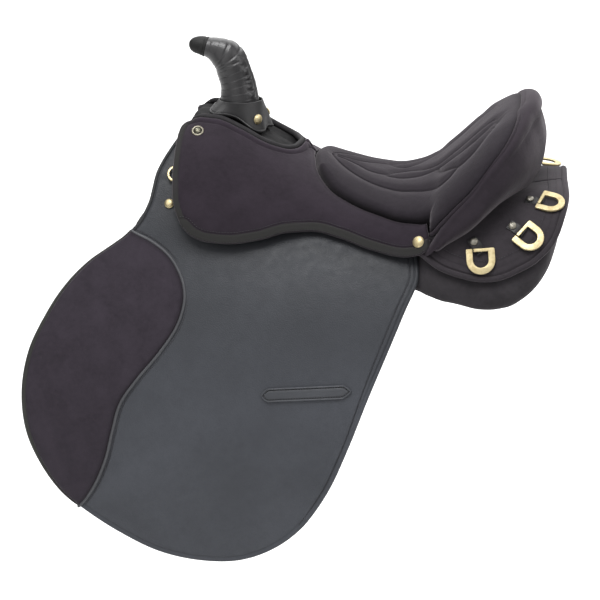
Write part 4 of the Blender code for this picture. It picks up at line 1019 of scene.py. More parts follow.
def jockey(far):
    e = np.array([0, .0002, .0007, .0015, .0027]) / span_x
    xs = np.concatenate([np.linspace(-.1958, -.066, 92), np.linspace(-.0652, -.030, 62), np.linspace(-.0288, .1150, 100)])
    us = np.concatenate([e, (xs - jx[0]) / span_x, (1 - e)[::-1]])
    vs = spread(96, .15, .0028)
    U, V = grid(us, vs)
    P = jockey_map(U, V)
    x, t = P[..., 0], np.maximum(P[..., 1], .005)
    mid = top(x, t, -.0025)
    rim = mid[:, 0][(x[:, 0] < -.0515)]
    seam_l = mid[:, 0][(x[:, 0] > -.0480)]
    s_rim, s_seam = near_line(mid, rim), near_line(mid, seam_l)
    s_low = near_line(mid, mid[:, -1])
    s_front, s_rear = near_line(mid, mid[0]), near_line(mid, mid[-1])
    s = np.minimum.reduce([s_rim, s_seam, s_low, s_front, s_rear])
    BW, FW, RW = .0118, .0082, .0090
    band = np.maximum(1 - blend(BW - .0004, BW + .0004, s_low), 1 - blend(FW - .0004, FW + .0004, s_front))
    band = band * blend(0, .004, s_seam)
    rimband = 1 - blend(RW - .0004, RW + .0004, s_rim)
    roll = (.0011 * np.clip(1 - (2 * s_low / BW - 1) ** 4, 0, 1) * (s_low < BW)
            + .0008 * np.clip(1 - (2 * s_front / FW - 1) ** 4, 0, 1) * (s_front < FW) * (s_low >= BW)
            + (.0018 + .0010 * far) * np.clip(1 - (2 * s_rim / RW - 1) ** 2, 0, 1) * (s_rim < RW) * blend(0, .009, s_front))
    g_low = dent(s_low, BW + .0005, .0009)
    g_front = dent(s_front, FW + .0005, .0009) * blend(BW - .001, BW + .001, s_low)
    g_rim = dent(s_rim, RW + .0004, .0009)
    cut = np.maximum.reduce([g_low, g_front, g_rim])
    body = .0018 * (1 - np.exp(-np.clip(s - .006, 0, 1) / .016)) + .0004 * wander(mid, .07, 5) * (1 - np.exp(-s / .02))
    # the seam into the seat pulls the leather down into a wide soft hollow
    body = body - .0016 * np.exp(-(s_seam / .006) ** 2)
    r = rounded(s, .0026)
    deep = np.maximum(.0006 * np.maximum(g_low, g_front), .0007 * g_rim)
    raised = crown(mid[..., 0], mid[..., 1], far) * np.exp(-(s_rim / (.012 + .004 * far)) ** 2)
    up = top(x, t, -.0025 + .0025 * r + roll * (s > .0004) + body + raised - deep)
    low = top(x, t, -.0025 - .0025 * r + raised)
    # dark lines beside the bindings, and painted shade where the leather dives into the seat's seam and along its rear
    # edge
    dark = np.maximum.reduce([.5 * g_low, .35 * g_front, .5 * g_rim, np.exp(-(s_seam / .003) ** 2) * .9, np.exp(-(s_rear / .0022) ** 2) * .8])
    wear_and_highlight = np.maximum.reduce([.8 * np.exp(-(s_low / .0016) ** 2), .55 * np.exp(-(s_front / .0014) ** 2),
                              .55 * rimband * (1 - g_rim), .30 * np.clip(wander(mid, .05, 12), 0, 1)])
    wear_and_highlight = np.maximum(wear_and_highlight, .9 * dent(s_rim, .0044, .0011) * (x < -.06))
    ob = two_faced("jockey_skin_left", up, low, M_JOCKEY, attrs={"seam_and_shade": dark, "wear_and_highlight": wear_and_highlight, "band": band})
    rows = []
    for S, at in ((s_low, BW + .0026), (s_low, .0018)):
        pts, nr = level_line(up, S, at, 6, len(us) - 6, True)
        if nr[:, 1].mean() > 0:
            nr = -nr
        rows.append(stitches("row", pts, nr, M_THREAD_DARK, .0038, .0026, .00034))
    st = joined_piece("jockey_stitching_left", rows)
    for made, name, nodes, pad in ((ob, "jockey_skin_", ["jockey_"], .35), (st, "jockey_stitching_", [], None)):
        side_name = "right" if far else "left"
        if far:
            made_right = mirrored(made, name + "right")
            bpy.data.objects.remove(made, do_unlink=True)
            made = made_right
        settle(made, "root", [n + side_name for n in nodes])


jockey(0)
jockey(1)

# rolled cord inside the U-shaped opening
xs = np.concatenate([np.linspace(-.1945, -.07, 60), np.linspace(-.0690, -.0560, 40)])
edge = top(xs, top_share(xs), -.0028)
tang = np.gradient(edge, axis=0)
tang /= np.linalg.norm(tang, axis=1, keepdims=True)
nn = top(xs, top_share(xs), .001) - top(xs, top_share(xs), 0)
nn /= np.linalg.norm(nn, axis=1, keepdims=True)
inward = np.cross(tang, nn)
inward *= np.sign((inward * np.array([-.02, .06, 0])).sum(1))[:, None]
half = edge + inward * .0042 + nn * .0008
keep = half[:, 1] < -.0025
half, nk = half[keep], nn[keep]
near_half = half + nk * crown(half[:, 0], half[:, 1], 0)[:, None]
far_half = half + nk * crown(half[:, 0], half[:, 1], 1)[:, None]
cord_path = np.concatenate([near_half, [[near_half[-1][0] + .0008, 0, near_half[-1][2]]], far_half[::-1] * [1, -1, 1]])

cord = Path(cord_path[::4].tolist(), 6).p
run = np.concatenate([[0], np.cumsum(np.linalg.norm(np.diff(cord, axis=0), axis=1))])
cord_r = .0024 + .0019 * blend(0, .018, np.minimum(run, run[-1] - run))
settle(tube("opening_cord", cord, cord_r, M_RIM, 16), "root", ["pommel_rim_binding"])

# ---------------------------------------------------------------- pommel
cover_t = Station([(-.203, .25), (-.186, .245), (-.135, .27), (-.101, .285), (-.076, .26), (-.062, .20), (-.052, .14)])


def swell():
    U, V = grid(spread(90, .09, .003), spread(90, .15, .003))
    x = -.203 + .151 * V
    t = (2 * U - 1) * cover_t(x)
    mid = top(x, t, -.0115)
    s = np.minimum.reduce(edges(mid))
    r = rounded(s, .003)
    bank = .0030 * blend(.09, .20, np.abs(t)) + .0034 * blend(.09, .20, -t)
    up = top(x, t, -.0119 + bank + .0031 * r + .0014 * rounded(s, .02) + .0004 * wander(mid, .03, 21) * r)
    low = top(x, t, -.0119 + bank - .0031 * r)
    settle(two_faced("pommel_swell", up, low, M_SWELL), "root", ["pommel_cover"])


swell()


def facing():
    U, V = grid(spread(150, .36, .003), spread(30, .06, .003))
    a = 2 * U - 1
    sg = np.where(a >= 0, 1, -1)
    outer = top(-.207, np.minimum(np.abs(a), 1) * .60, -.026)
    ang = a * pi / 2
    yi, zi = .046 * np.abs(np.sin(ang)), .040 + .058 * np.cos(ang)
    y = -outer[..., 1] * (1 - V) + yi * V
    z = outer[..., 2] * (1 - V) + zi * V
    mid = np.stack([0 * y - .210, y * sg, z], -1)
    s = np.minimum.reduce(edges(mid))
    r = rounded(s, .0025)
    bandw = .0075
    up, low = mid.copy(), mid.copy()
    up[..., 0] = -.210 - .002 * r - .0007 * np.clip(1 - (2 * s / bandw - 1) ** 4, 0, 1) * (s < bandw) + .0009 * dent(s, bandw + .0003, .0008)
    s_out = edges(mid)[2]
    low[..., 0] = -.210 + .002 * r + .018 * np.exp(-(s_out / .0042) ** 2)   # turned back under the leather
    ob = two_faced("front_facing", up, low, M_INNER, attrs={"seam_and_shade": dent(s, bandw + .0003, .0009), "wear_and_highlight": .5 * np.exp(-(s / .0016) ** 2)})
    settle(ob, "root", ["pommel_facing"])


facing()

# ---------------------------------------------------------------- horn
sleeve_out = Path([(x, z, r) for x, z, r in HORN + HORN_TIP], 8)


def horn_frame(v):
    c = sleeve_out(v)
    c1, c0 = sleeve_out(np.minimum(1, v + .02)), sleeve_out(np.maximum(0, v - .02))
    t = np.stack([c1[..., 0] - c0[..., 0], 0 * v, c1[..., 1] - c0[..., 1]], -1)
    t /= np.linalg.norm(t, axis=-1, keepdims=True)
    b = np.cross(t, np.broadcast_to([0, 1., 0], t.shape))
    return np.stack([c[..., 0], 0 * v, c[..., 1]], -1), t, b, c[..., 2]


ELBOW_V = float(sleeve_out.s[np.argmin(np.abs(sleeve_out.p[:, 1] - .2195))] / sleeve_out.length)


def horn_skin(name, v0, v1, n, extra, mat, lip=0.0):
    v = np.linspace(v0, v1, n)
    m = 96
    V, A = np.meshgrid(v, np.linspace(0, 2 * pi, m, endpoint=False), indexing="ij")
    c, t, b, r = horn_frame(V)
    c0 = sleeve_out(v)
    L = np.concatenate([[0], np.cumsum(np.hypot(np.diff(c0[:, 0]), np.diff(c0[:, 1])))])[:, None] + 0 * A
    r = r + extra(V, A, L)
    if lip:
        e = rounded(L, lip)
        r = r - .0016 * (1 - e)
    P = c + np.array([0, 1., 0]) * (r * np.cos(A))[..., None] + b * (r * np.sin(A))[..., None]
    return rings(name, P, mat)


def winding(V, A, L):
    """Overlapping turns of the strip, steep at one edge of each, and creases inside the bend."""
    up_ = blend(.50, .66, V)
    pitch = .0092
    f = (L / pitch - A / (2 * pi) + .15) % 1.0
    step = np.where(f < .86, f / .86, (1 - f) / .14)
    amp = .00030 * (1 - up_) + .00022 * up_
    out = amp * (step - .5) * blend(0, .02, L)
    line = np.exp(-((f - .95) / .045) ** 2) * -.00020 * (1 - .5 * up_)
    inside = np.exp(-((np.cos(A - 1.35 * pi) - 1) / .9) ** 2)
    fold = sum(np.exp(-((V - c - .035 * np.sin(A * 1.0 + k)) / .011) ** 2) for k, c in ((0, .47), (1.2, .535), (2.1, .60)))
    out = out + line - .0011 * fold * (.35 + .65 * inside) * np.exp(-((V - .54) / .13) ** 2)
    rear = np.clip(-np.sin(A), 0, 1)
    out = out + .0038 * np.exp(-((V - ELBOW_V) / .13) ** 2) * rear ** 1.5
    # lapped, puckered join of the sleeve along its rear near side
    along = blend(.05, .12, V) * (1 - blend(.42, .50, V))
    lap = np.exp(-((np.cos(A - 1.29 * pi) - 1) / .024) ** 2) * along
    out = out + lap * (.0006 + .00042 * np.sin(L * 820 + 2.2 * np.sin(L * 190)) + .0002 * np.sin(L * 430 + 1))
    out = out - .0005 * np.exp(-((np.cos(A - 1.41 * pi) - 1) / .004) ** 2) * along
    return out + .00025 * np.sin(A * 3 + V * 23)


settle(horn_skin("horn_winding", 0, .93, 190, winding, M_HORN), "root", ["horn_wrap"])
CAP_V = float(sleeve_out.s[np.argmin(np.abs(sleeve_out.p[:, 0] + .1855))] / sleeve_out.length)
settle(horn_skin("horn_cap", CAP_V, 1.0, 60, lambda V, A, L: .0011 + .0002 * np.sin(A * 5 + L * 300) * blend(.004, .012, L)
                 - .0006 * dent(L, .0034, .0007), M_CAP, .0016), "root")

COLLAR_TOP = .1600
TABS = (.62, -.86)
RIVETS = (.80, -.87)


def collar(a, v, d=0.0):
    c, s = np.cos(a), np.sin(a)
    away = lambda b: np.abs(np.arctan2(np.sin(a - b), np.cos(a - b)))
    tab = sum(np.exp(-(away(b) / .41) ** 2.4) for b in TABS)
    lobe = sum(np.exp(-(away(b) / .34) ** 2) for b in (-2.44, 2.44))
    waist = sum(np.exp(-(away(b) / .45) ** 2) for b in (-1.62, 1.62))
    reach = .0350 + .0100 * tab + .0110 * lobe - .0068 * waist
    r = .0272 + (reach - .0272) * v
    x, y = -.1400 + r * c, r * s
    foot = top(x, np.minimum(.25, np.abs(y) / .2), -.0038)[..., 2]
    z = COLLAR_TOP + (foot - COLLAR_TOP) * v
    out = np.stack([c * .6, s * .6, .6 + 0 * c], -1)
    out /= np.linalg.norm(out, axis=-1, keepdims=True)
    return np.stack([x, y, z], -1) + out * np.asarray(d)[..., None]


def collar_body():
    vs = spread(34, .036, .0016)
    A, V = grid(np.linspace(0, 2 * pi, 200, endpoint=False), vs)
    mid = collar(A, V, 0 * A + .0014)
    _, _, s0, s1 = edges(mid)
    s = np.minimum(s0, s1)
    r = rounded(s, .0014)
    up = collar(A, V, .0014 + .0016 * r - .0006 * dent(s1, .0034, .0006) + .0006 * np.exp(-((s1 - .0016) / .0012) ** 2)
                - .0009 * np.sin(pi * V) * .6)
    low = collar(A, V, .0014 - .0014 * r)
    P = np.concatenate([up, low[:, -2:0:-1]], 1)
    # a paler line along the collar's rounded lower edge: painted highlight
    wear_and_highlight = np.concatenate([.8 * np.exp(-(s1 / .0012) ** 2), 0 * s1[:, -2:0:-1]], 1)
    seam_and_shade = np.concatenate([dent(s1, .0034, .0007), 0 * s1[:, -2:0:-1]], 1)
    ob = rings("collar", P, M_COLLAR, closed=True, attrs={"wear_and_highlight": wear_and_highlight, "seam_and_shade": seam_and_shade})
    settle(ob, "root", ["horn_collar"])


collar_body()

dome = [(0, 0), (.0062, 0), (.0066, .0003), (.0067, .0008), (.0064, .0012), (.0057, .0014), (.0055, .0018), (.0050, .0026),
        (.0040, .0033), (.0026, .0038), (.0012, .0040), (0, .00405)]
for side, tab, nm in ((1, RIVETS[0], "right"), (-1, RIVETS[1], "left")):
    a = tab % (2 * pi)
    v0 = .70 if side > 0 else .62
    p, p2 = (Vector(collar(np.array(a), np.array(v), np.array(.0028))) for v in (v0, v0 + .18))
    along = p2 - p
    n = Vector((0, side, 0)).cross(along)
    n = n if n.z > 0 else -n
    n = (n + Vector((.35, .35 * side, 0))).normalized()
    settle(turned("collar_rivet_" + nm, placed(p + n * .0024, n, along), dome, M_BRASS), "root",
           ["horn_collar_rivet_" + nm])

# ---------------------------------------------------------------- cantle
rim3 = [(a, -b, c) for a, b, c in [(.1165, .1575, .0030), (.1250, .1655, .0085), (.1335, .1685, .0225)] + [q for q in EDGE if q[0] > .139]]
rim3 = rim3[:-1] + [(.2505, -.032, .1725), (.2525, 0, .1745)]
rim_full = Path(rim3 + [(x, -y, z) for x, y, z in reversed(rim3[:-1])])



def dip(x, y):
    """The skirt's hollow at its centre line, towards the cantle."""
    return -.007 * (1 - blend(.245, .296, x)) * (1 - blend(0, .075, np.abs(y)))


foot_half = [(x, -y, float(skirt_z(y) + dip(x, y) + .0035 - .0044 * (1 - blend(.05, .12, y)))) for x, y in [(.1165, .1520), (.1250, .1590)] + CANTLE_FOOT]
foot_full = Path(foot_half + [(x, -y, z) for x, y, z in reversed(foot_half[:-1])])


def outward(a):
    o = np.stack([np.maximum(a[:, 0] - .10, .03), a[:, 1] * .9, 0 * a[:, 0]], 1)
    return o / np.linalg.norm(o, axis=1, keepdims=True)


def cantle():
    """Padded cantle: a fat rolled top that thins down both arms, and the back below it in one skin."""
    nu = 300
    u = np.linspace(0, 1, nu)
    R, F = rim_full(u), foot_full(u)
    o = outward(R)
    up = np.array([0, 0, 1.])
    mid_ = np.sin(pi * np.clip(u, 0, 1)) ** .8          # 0 at the arms' ends, 1 at the middle
    rho = .0062 + (.0134 - .0062) * blend(.10, .46, np.minimum(u, 1 - u))
    co, cz = -.0040 * (rho / .0134), -.0045 * (rho / .0134) - .0040 * blend(.25, .46, np.minimum(u, 1 - u))
    a = R + o * .0050 + up * -.0090
    rows = []
    # over the roll, from under the piping to the outside
    for th in np.radians(np.linspace(160, -34, 30)):
        rows.append(R + o * (co + rho * cos(th))[:, None] + up * (cz + rho * sin(th))[:, None])
    edge = np.minimum(1, 6 * np.minimum(u, 1 - u))
    vv = np.concatenate([np.linspace(.07, .96, 44), [.975, .985, .993, .998, 1.0]])
    for v in vv:
        tuck = .0045 * (1 - rounded(np.array((1 - v) * .10), .006))
        puff = .0022 * np.sin(pi * v) ** .6
        rows.append(a * (1 - v) + F * v + o * (.013 * np.sin(pi * v) * edge + puff * edge - float(tuck))[:, None])
    P = np.stack(rows, 1)                                # (nu, nprof, 3)
    # soft meeting of roll and back, sharper in the middle of the cantle
    k0 = 30
    for n_, far in ((3, 0.0), (14, 1.0)):
        Q = P.copy()
        for _ in range(n_):
            Q[:, k0 - 12:k0 + 12] = (Q[:, k0 - 13:k0 + 11] + 2 * Q[:, k0 - 12:k0 + 12] + Q[:, k0 - 11:k0 + 13]) / 4
        w = (1 - blend(.16, .40, np.minimum(u, 1 - u)))[:, None, None] if far else 1.0
        P = P * (1 - w) + Q * w
    P += (.0006 * wander(P, .06, 31) * np.minimum(1, edge)[:, None])[..., None] * o[:, None]
    inner = [F - o * .0065 + up * .002, F * .5 + a * .5 + o * (.013 * edge - .010)[:, None], a - o * .010 - up * .004,
             R + o * (co - rho * .5)[:, None] + up * (cz - rho * .9)[:, None], R + o * (co - rho * .95)[:, None] + up * (cz - rho * .1)[:, None]]
    P = np.concatenate([P, np.stack(inner, 1)], 1)
    n_in = len(inner)
    # close both arms softly
    for side in (0, 1):
        idx = range(0, 7) if side == 0 else range(nu - 1, nu - 8, -1)
        for j, i in enumerate(idx):
            f = float(rounded(np.array((j + .25) * .0016), .0048))
            c = P[i].mean(0)
            P[i] = c + (P[i] - c) * (.45 + .55 * f)
    arc = np.cumsum(np.linalg.norm(np.diff(P, axis=1, prepend=P[:, :1]), axis=2), 1)
    # a paler band along the crest of the roll: painted highlight; paler patches at random: rubbed places
    worn_and_highlit = .5 * np.exp(-((np.arange(P.shape[1]) - 15) / 5.) ** 2)[None] * np.ones((nu, 1))
    worn_and_highlit = worn_and_highlit + .25 * np.clip(wander(P, .05, 33), 0, 1)
    dark = np.exp(-(arc / .0035) ** 2)
    # painted shade on the last rows of the back, where it meets the skirt, and over the hidden inner face
    painted_foot_shade = np.clip((np.arange(P.shape[1]) - (P.shape[1] - n_in - 4)) / 4., 0, 1)[None] * np.ones((nu, 1))
    ob = rings("cantle", P, M_CANTLE, attrs={"seam_and_shade": np.maximum(dark, painted_foot_shade), "wear_and_highlight": np.clip(worn_and_highlit, 0, 1)})
    settle(ob, "root", ["cantle_back"])
    # narrow piping between seat and roll
    seat_edge = []
    uu = np.linspace(0, 1, 200)
    line = Path(side_seam.p[side_seam.p[:, 0] > .1268].tolist() + rear_cut.p[1:].tolist(), 1)(uu)
    pts = top(line[:, 0], line[:, 1], .0022)
    Rn = near_rim_at(pts)
    d = Rn - pts
    d /= np.linalg.norm(d, axis=1, keepdims=True)
    w = .0024 + .0020 * blend(.35, .95, uu)
    pts = pts + d * (w * .8)[:, None]
    full = np.concatenate([pts, (pts * [1, -1, 1])[::-1][1:]])
    rad = np.concatenate([w, w[::-1][1:]]) * (1 + .03 * np.sin(np.arange(2 * len(w) - 1) * .9))
    ob = tube("cantle_piping", full, rad, M_CANTLE, 14)
    settle(ob, "root", ["cantle_roll"])
    return P


def near_rim_at(pts):
    """The point of the rim nearest to each of pts."""
    q = rim_full(np.linspace(0, 1, 900))
    i = np.argmin(((pts[:, None] - q[None]) ** 2).sum(2), 1)
    return q[i]


cantle()

# ---------------------------------------------------------------- rear skirt
rim_rear = Path([(.1130, .1600), (.1210, .1632), (.1310, .1670), (.144, .1702), (.166, .1732), (.189, .1748), (.213, .1738),
                 (.235, .1695), (.259, .1620), (.279, .1475), (.2892, .122), (.2946, .085), (.2948, .045), (.2942, .0)])
inner_rear = Path([(.1130, .1480), (.1300, .1500), (.146, .150), (.166, .139), (.196, .107), (.221, .070), (.235, .036), (.238, 0)])


def rear_skirt():
    us, vs = spread(200, .33, .0026), spread(64, .06, .0026)
    U, V = grid(us, vs)
    a, b = inner_rear(U), rim_rear(U)
    x = a[..., 0] * (1 - V) + b[..., 0] * V
    y = a[..., 1] * (1 - V) + b[..., 1] * V
    y = -y + .0003 * np.exp(-np.abs(y) / .002)             # the halves touch on the centre line
    mid = skirt(x, y, -.0025)
    s0, s1, s2, s3 = edges(mid)
    rim_line, mid_line = mid[:, -1], mid[-1]
    s_rim = near_line(mid, rim_line)
    s_mid = near_line(mid, mid_line)
    s = np.minimum.reduce([s0, s_mid, s2, s_rim])
    r = rounded(s, .0025)
    BW = .0112
    cut = np.maximum.reduce([dent(s_rim, .0030, .0010), .30 * dent(s_rim, BW, .0009), .35 * dent(s_rim, .0195, .0008)])
    roll = .0004 * np.clip(1 - (2 * s_rim / BW - 1) ** 4, 0, 1) * (s_rim < BW)
    body = .0012 * (1 - np.exp(-np.clip(s_rim - BW, 0, 1) / .014)) * (s_rim >= BW) + .0003 * wander(mid, .05, 41)
    down = np.stack([0 * x, 0 * x, dip(x, y)], -1)
    up = down + skirt(x, y, -.0025 + .0025 * r + roll + body * (1 - np.exp(-s_mid / .004)) - .0012 * cut)
    low = down + skirt(x, y, -.0025 - .0025 * r)
    seam_and_shade = np.maximum(cut, .9 * np.exp(-(s_mid / .0012) ** 2))
    wear_and_highlight = np.maximum(.6 * np.exp(-(s_rim / .0014) ** 2), .25 * np.clip(wander(mid, .04, 43), 0, 1))
    ob = two_faced("rear_skirt_skin_left", up, low, M_SKIRT, attrs={"seam_and_shade": seam_and_shade, "wear_and_highlight": wear_and_highlight})
    rows = []
    for at in (.0195 + .0018, ):
        pts, nr = level_line(up, s_rim, at, 8, len(us) - 6, True)
        nr = np.where(nr[:, 2:] < 0, -nr, nr)
        rows.append(stitches("row", pts, nr, M_THREAD_DARK, .0038, .0026, .00034))
    st = joined_piece("rear_skirt_stitching_left", rows)
    pair(ob, "rear_skirt_skin_{}", "root", ["rear_skirt_{}"])
    pair(st, "rear_skirt_stitching_{}", "root", [])


rear_skirt()

k = np.linspace(0, 1, 120)
q = rim_rear(k)
q1, q2 = rim_rear(np.maximum(0, k - .01)), rim_rear(np.minimum(1, k + .01))
p = skirt(q[:, 0], -q[:, 1], -.0020)
tang = skirt(q2[:, 0], -q2[:, 1]) - skirt(q1[:, 0], -q1[:, 1])
tang /= np.linalg.norm(tang, axis=1, keepdims=True)
nn = skirt(q[:, 0], -q[:, 1], .001) - skirt(q[:, 0], -q[:, 1], 0)
out = np.cross(tang, nn)
out /= np.linalg.norm(out, axis=1, keepdims=True)
out *= np.sign((out * np.stack([q[:, 0] - .15, -q[:, 1], 0 * k], 1)).sum(1))[:, None]
pp = p + out * .0014
pp[-1, 1] = 0
pp = np.concatenate([pp, (pp * [1, -1, 1])[::-1][1:]])
settle(tube("skirt_edge_piping", pp, .0036, M_SKIRT, 16), "root", ["skirt_piping"])

# ---------------------------------------------------------------- panels
outer_y = Station([(-.185, .118), (-.10, .124), (.06, .126), (.075, .130), (.095, .146), (.112, .157), (.125, .1635),
                   (.150, .1695), (.189, .1715), (.225, .169), (.245, .163), (.262, .154), (.274, .141),
                   (.284, .120), (.289, .097)])
rise = Station([(-.19, 0), (.20, 0), (.225, .002), (.25, .009), (.274, .022), (.289, .036)])


def under(x, y, d):
    """Z of the leather line moved by d, over the half width y."""
    lo, hi = np.zeros_like(x), np.ones_like(x)
    for _ in range(14):
        m = (lo + hi) / 2
        short = np.abs(top(x, m, d)[..., 1]) < y
        lo, hi = np.where(short, m, lo), np.where(short, hi, m)
    return top(x, (lo + hi) / 2, d)[..., 2]


def panel_z(x, y, yo):
    v = np.clip((y - HALF_CHANNEL) / (yo - HALF_CHANNEL), 0, 1)
    rear = blend(.085, .135, x)
    z0 = back_z(y) + rise(x) - .002 + .006 * v ** 4 * blend(.09, .115, x) * (1 - blend(.15, .19, x))
    front_top = np.minimum(.038, .1010 - .95 * y)
    slope = 4.4 * .096 / .178 * (y / .178) ** 3.4
    rear_top = skirt_z(y) + dip(x, y) - .0085 * (1 + slope * slope) ** .5
    z1 = front_top + rear * (rear_top - front_top)
    lid = under(x, np.minimum(y + .008, .102), -.0355)
    z1 = np.where((x > -.03) & (x < .215) & (y < .118), np.minimum(z1, lid), z1)
    return z0, np.maximum(z1, z0 + .012)


def panel_body():
    """Stuffed panel: rounded section, soft ends, and a sewn line between lining and gusset."""
    xs = np.concatenate([[-.185, -.1848, -.1842, -.183, -.1805, -.176], np.linspace(-.170, .268, 118),
                         [.272, .276, .2795, .2825, .285, .287, .2882, .2888, .289]])
    m = 34
    k = np.linspace(0, 1, m)
    yo = outer_y(xs)
    X = xs[:, None] + 0 * k
    Y = HALF_CHANNEL + (yo[:, None] - HALF_CHANNEL) * k
    z0, z1 = panel_z(X, Y, yo[:, None])
    zs = np.linspace(0, 1, 16)
    outer = np.stack([X[:, :1] + 0 * zs, yo[:, None] + 0 * zs, z0[:, -1:] * (1 - zs) + z1[:, -1:] * zs], -1)
    inner = np.stack([X[:, :1] + 0 * zs, HALF_CHANNEL + 0 * X[:, :1] * zs, z1[:, :1] * (1 - zs) + z0[:, :1] * zs], -1)
    low = np.stack([X, Y, z0], -1)
    hi = np.stack([X, Y, z1], -1)[:, ::-1]
    P = np.concatenate([low[:, :-1], outer[:, :-1], hi[:, :-1], inner[:, :-1]], 1)
    P0 = P.copy()
    for _ in range(9):                                    # round the four corners of the section
        P = (np.roll(P, 1, 1) + 2 * P + np.roll(P, -1, 1)) / 4
    h = (z1 - z0).mean(1)
    out = np.array([0, 1., 0])
    bulge = np.zeros(P.shape[:2])
    bulge[:, m - 1:m - 1 + 15] = np.sin(pi * zs[:-1])
    P = P + out * (bulge * np.clip(h[:, None] * .09, 0, .0035))[..., None]
    # ends
    c = P.mean(1, keepdims=True)
    f = rounded(np.minimum(xs - xs[0] + .0012, xs[-1] - xs + .0016), .016)[:, None, None]
    P = c + (P - c) * (.30 + .70 * f)
    P[..., 1] *= -1
    sewn = np.zeros(P.shape[:2])
    j = m - 1 + 2
    sewn[:, j] = 1
    ks = (.04, .15, .30, .45, .60, .74, .86, .95)
    caps = []
    for i, way in ((0, -1), (-1, 1)):
        mid_ = P[i].mean(0)
        caps.append([mid_ + (P[i] - mid_) * q + np.array([way * .0030 * (1 - q * q), 0, 0]) for q in ks])
    P = np.concatenate([caps[0], P, caps[1][::-1]])
    sewn = np.pad(sewn, ((len(ks), len(ks)), (0, 0)))
    c = P.mean(1, keepdims=True)
    n = np.cross(np.gradient(P, axis=0), np.gradient(P, axis=1))
    n /= np.linalg.norm(n, axis=-1, keepdims=True)
    if (n * (P - c)).sum() < 0:
        n = -n
    P = P - n * (sewn * .0014)[..., None] + n * (.0009 * wander(P, .06, 51))[..., None]
    ob = rings("panel_skin_left", P, M_PANEL, attrs={"seam_and_shade": sewn * .9, "wear_and_highlight": .3 * np.clip(wander(P, .05, 53), 0, 1)})
    pair(ob, "panel_skin_{}", "root", ["panel_{}"])


panel_body()


# ---------------------------------------------------------------- dees, clips and screws
def plate(name, outlines, half, bevel, mats, place):
    """Flat plate cut to outlines, its edges rounded over."""
    cu = bpy.data.curves.new(name, "CURVE")
    cu.dimensions = "2D"
    cu.fill_mode = "BOTH"
    cu.extrude = half - bevel
    cu.bevel_depth = bevel
    cu.bevel_resolution = 3
    cu.offset = -bevel
    for pts in outlines:
        sp = cu.splines.new("POLY")
        sp.points.add(len(pts) - 1)
        for i, p in enumerate(pts):
            sp.points[i].co = (p[0], p[1], 0, 1)
        sp.use_cyclic_u = True
    ob = bpy.data.objects.new(name + "_curve", cu)
    SCENE.collection.objects.link(ob)
    me = bpy.data.meshes.new_from_object(ob.evaluated_get(bpy.context.evaluated_depsgraph_get()))
    bpy.data.objects.remove(ob, do_unlink=True)
    bm = bmesh.new()
    bm.from_mesh(me)
    bmesh.ops.remove_doubles(bm, verts=bm.verts[:], dist=1e-6)
    bmesh.ops.recalc_face_normals(bm, faces=bm.faces[:])
    bm.to_mesh(me)
    bm.free()
    me.transform(place)
    me.name = name
    me.materials.clear()
    for m in mats if isinstance(mats, (list, tuple)) else [mats]:
        me.materials.append(m)
    me.shade_smooth()
    me.set_sharp_from_angle(angle=radians(38))
    ob = bpy.data.objects.new(name, me)
    SCENE.collection.objects.link(ob)
    return ob


def dee_outlines(k=1.0, band=DEE_BAND):
    """One outline: the band runs from one end of the bar round to the other, where a slit is left."""
    hw, s, b = DEE_WIDTH / 2, DEE_SIDE, .0021
    r = hw - band

    def corner(cx, cy, q, a0, a1, n=6):
        return [(cx + q * cos(a), cy + q * sin(a)) for a in np.linspace(a0, a1, n)]

    pts = [(r, -b)] + corner(hw - .0022, -b + .0022, .0022, 1.5 * pi, 2 * pi)
    pts += [(hw * cos(a), s + hw * sin(a)) for a in np.linspace(0, pi, 44)]
    pts += corner(-hw + .0022, -b + .0022, .0022, pi, 1.5 * pi)
    pts += [(r - .0013, -b), (r - .0013, b), (-r, b)]
    pts += [(r * cos(a), s + r * sin(a)) for a in np.linspace(pi, 0, 30)]
    return [[(x * k, y * k) for x, y in pts]]


def dee_place(spot, surf):
    (bx, by), (tx, ty) = spot[0], spot[1]
    p, q = Vector(surf(bx, by, LIFT)), Vector(surf(tx, ty, .0040))
    n = (Vector(surf(bx, by, .01)) - Vector(surf(bx, by, 0))).normalized()
    b = (q - p).normalized()
    return placed(p, b.cross(n).normalized().cross(b), b), placed(p, n, b)


SCREW = [(0, -.0030), (.0030, -.0030), (.0030, -.0002), (.0054, -.0002), (.0057, .0001), (.0058, .0006), (.0056, .0012),
         (.0050, .0018), (.0040, .0024), (.0026, .0028), (.0012, .0030), (0, .00305)]


def slotted(name, place, mats, scale=1.0, turn=.4, profile=SCREW, index=None):
    ob = turned(name, Matrix.Identity(4), profile, mats, 40, index, scale)
    cut = bpy.data.meshes.new("slot")
    bm = bmesh.new()
    bmesh.ops.create_cube(bm, size=1, matrix=Matrix.Translation((0, 0, profile[-1][1] + .0006)) @ Matrix.Rotation(turn, 4, "Z")
                          @ Matrix.Diagonal((.0140 * scale, .0011, .0030, 1)))
    bm.to_mesh(cut)
    bm.free()
    tool = bpy.data.objects.new("slot", cut)
    SCENE.collection.objects.link(tool)
    m = ob.modifiers.new("slot", "BOOLEAN")
    m.operation, m.solver, m.object = "DIFFERENCE", "EXACT", tool
    me = bpy.data.meshes.new_from_object(ob.evaluated_get(bpy.context.evaluated_depsgraph_get()))
    ob.modifiers.clear()
    ob.data = me
    me.name = name
    bpy.data.objects.remove(tool, do_unlink=True)
    me.transform(place)
    me.shade_smooth()
    me.set_sharp_from_angle(angle=radians(35))
    return ob


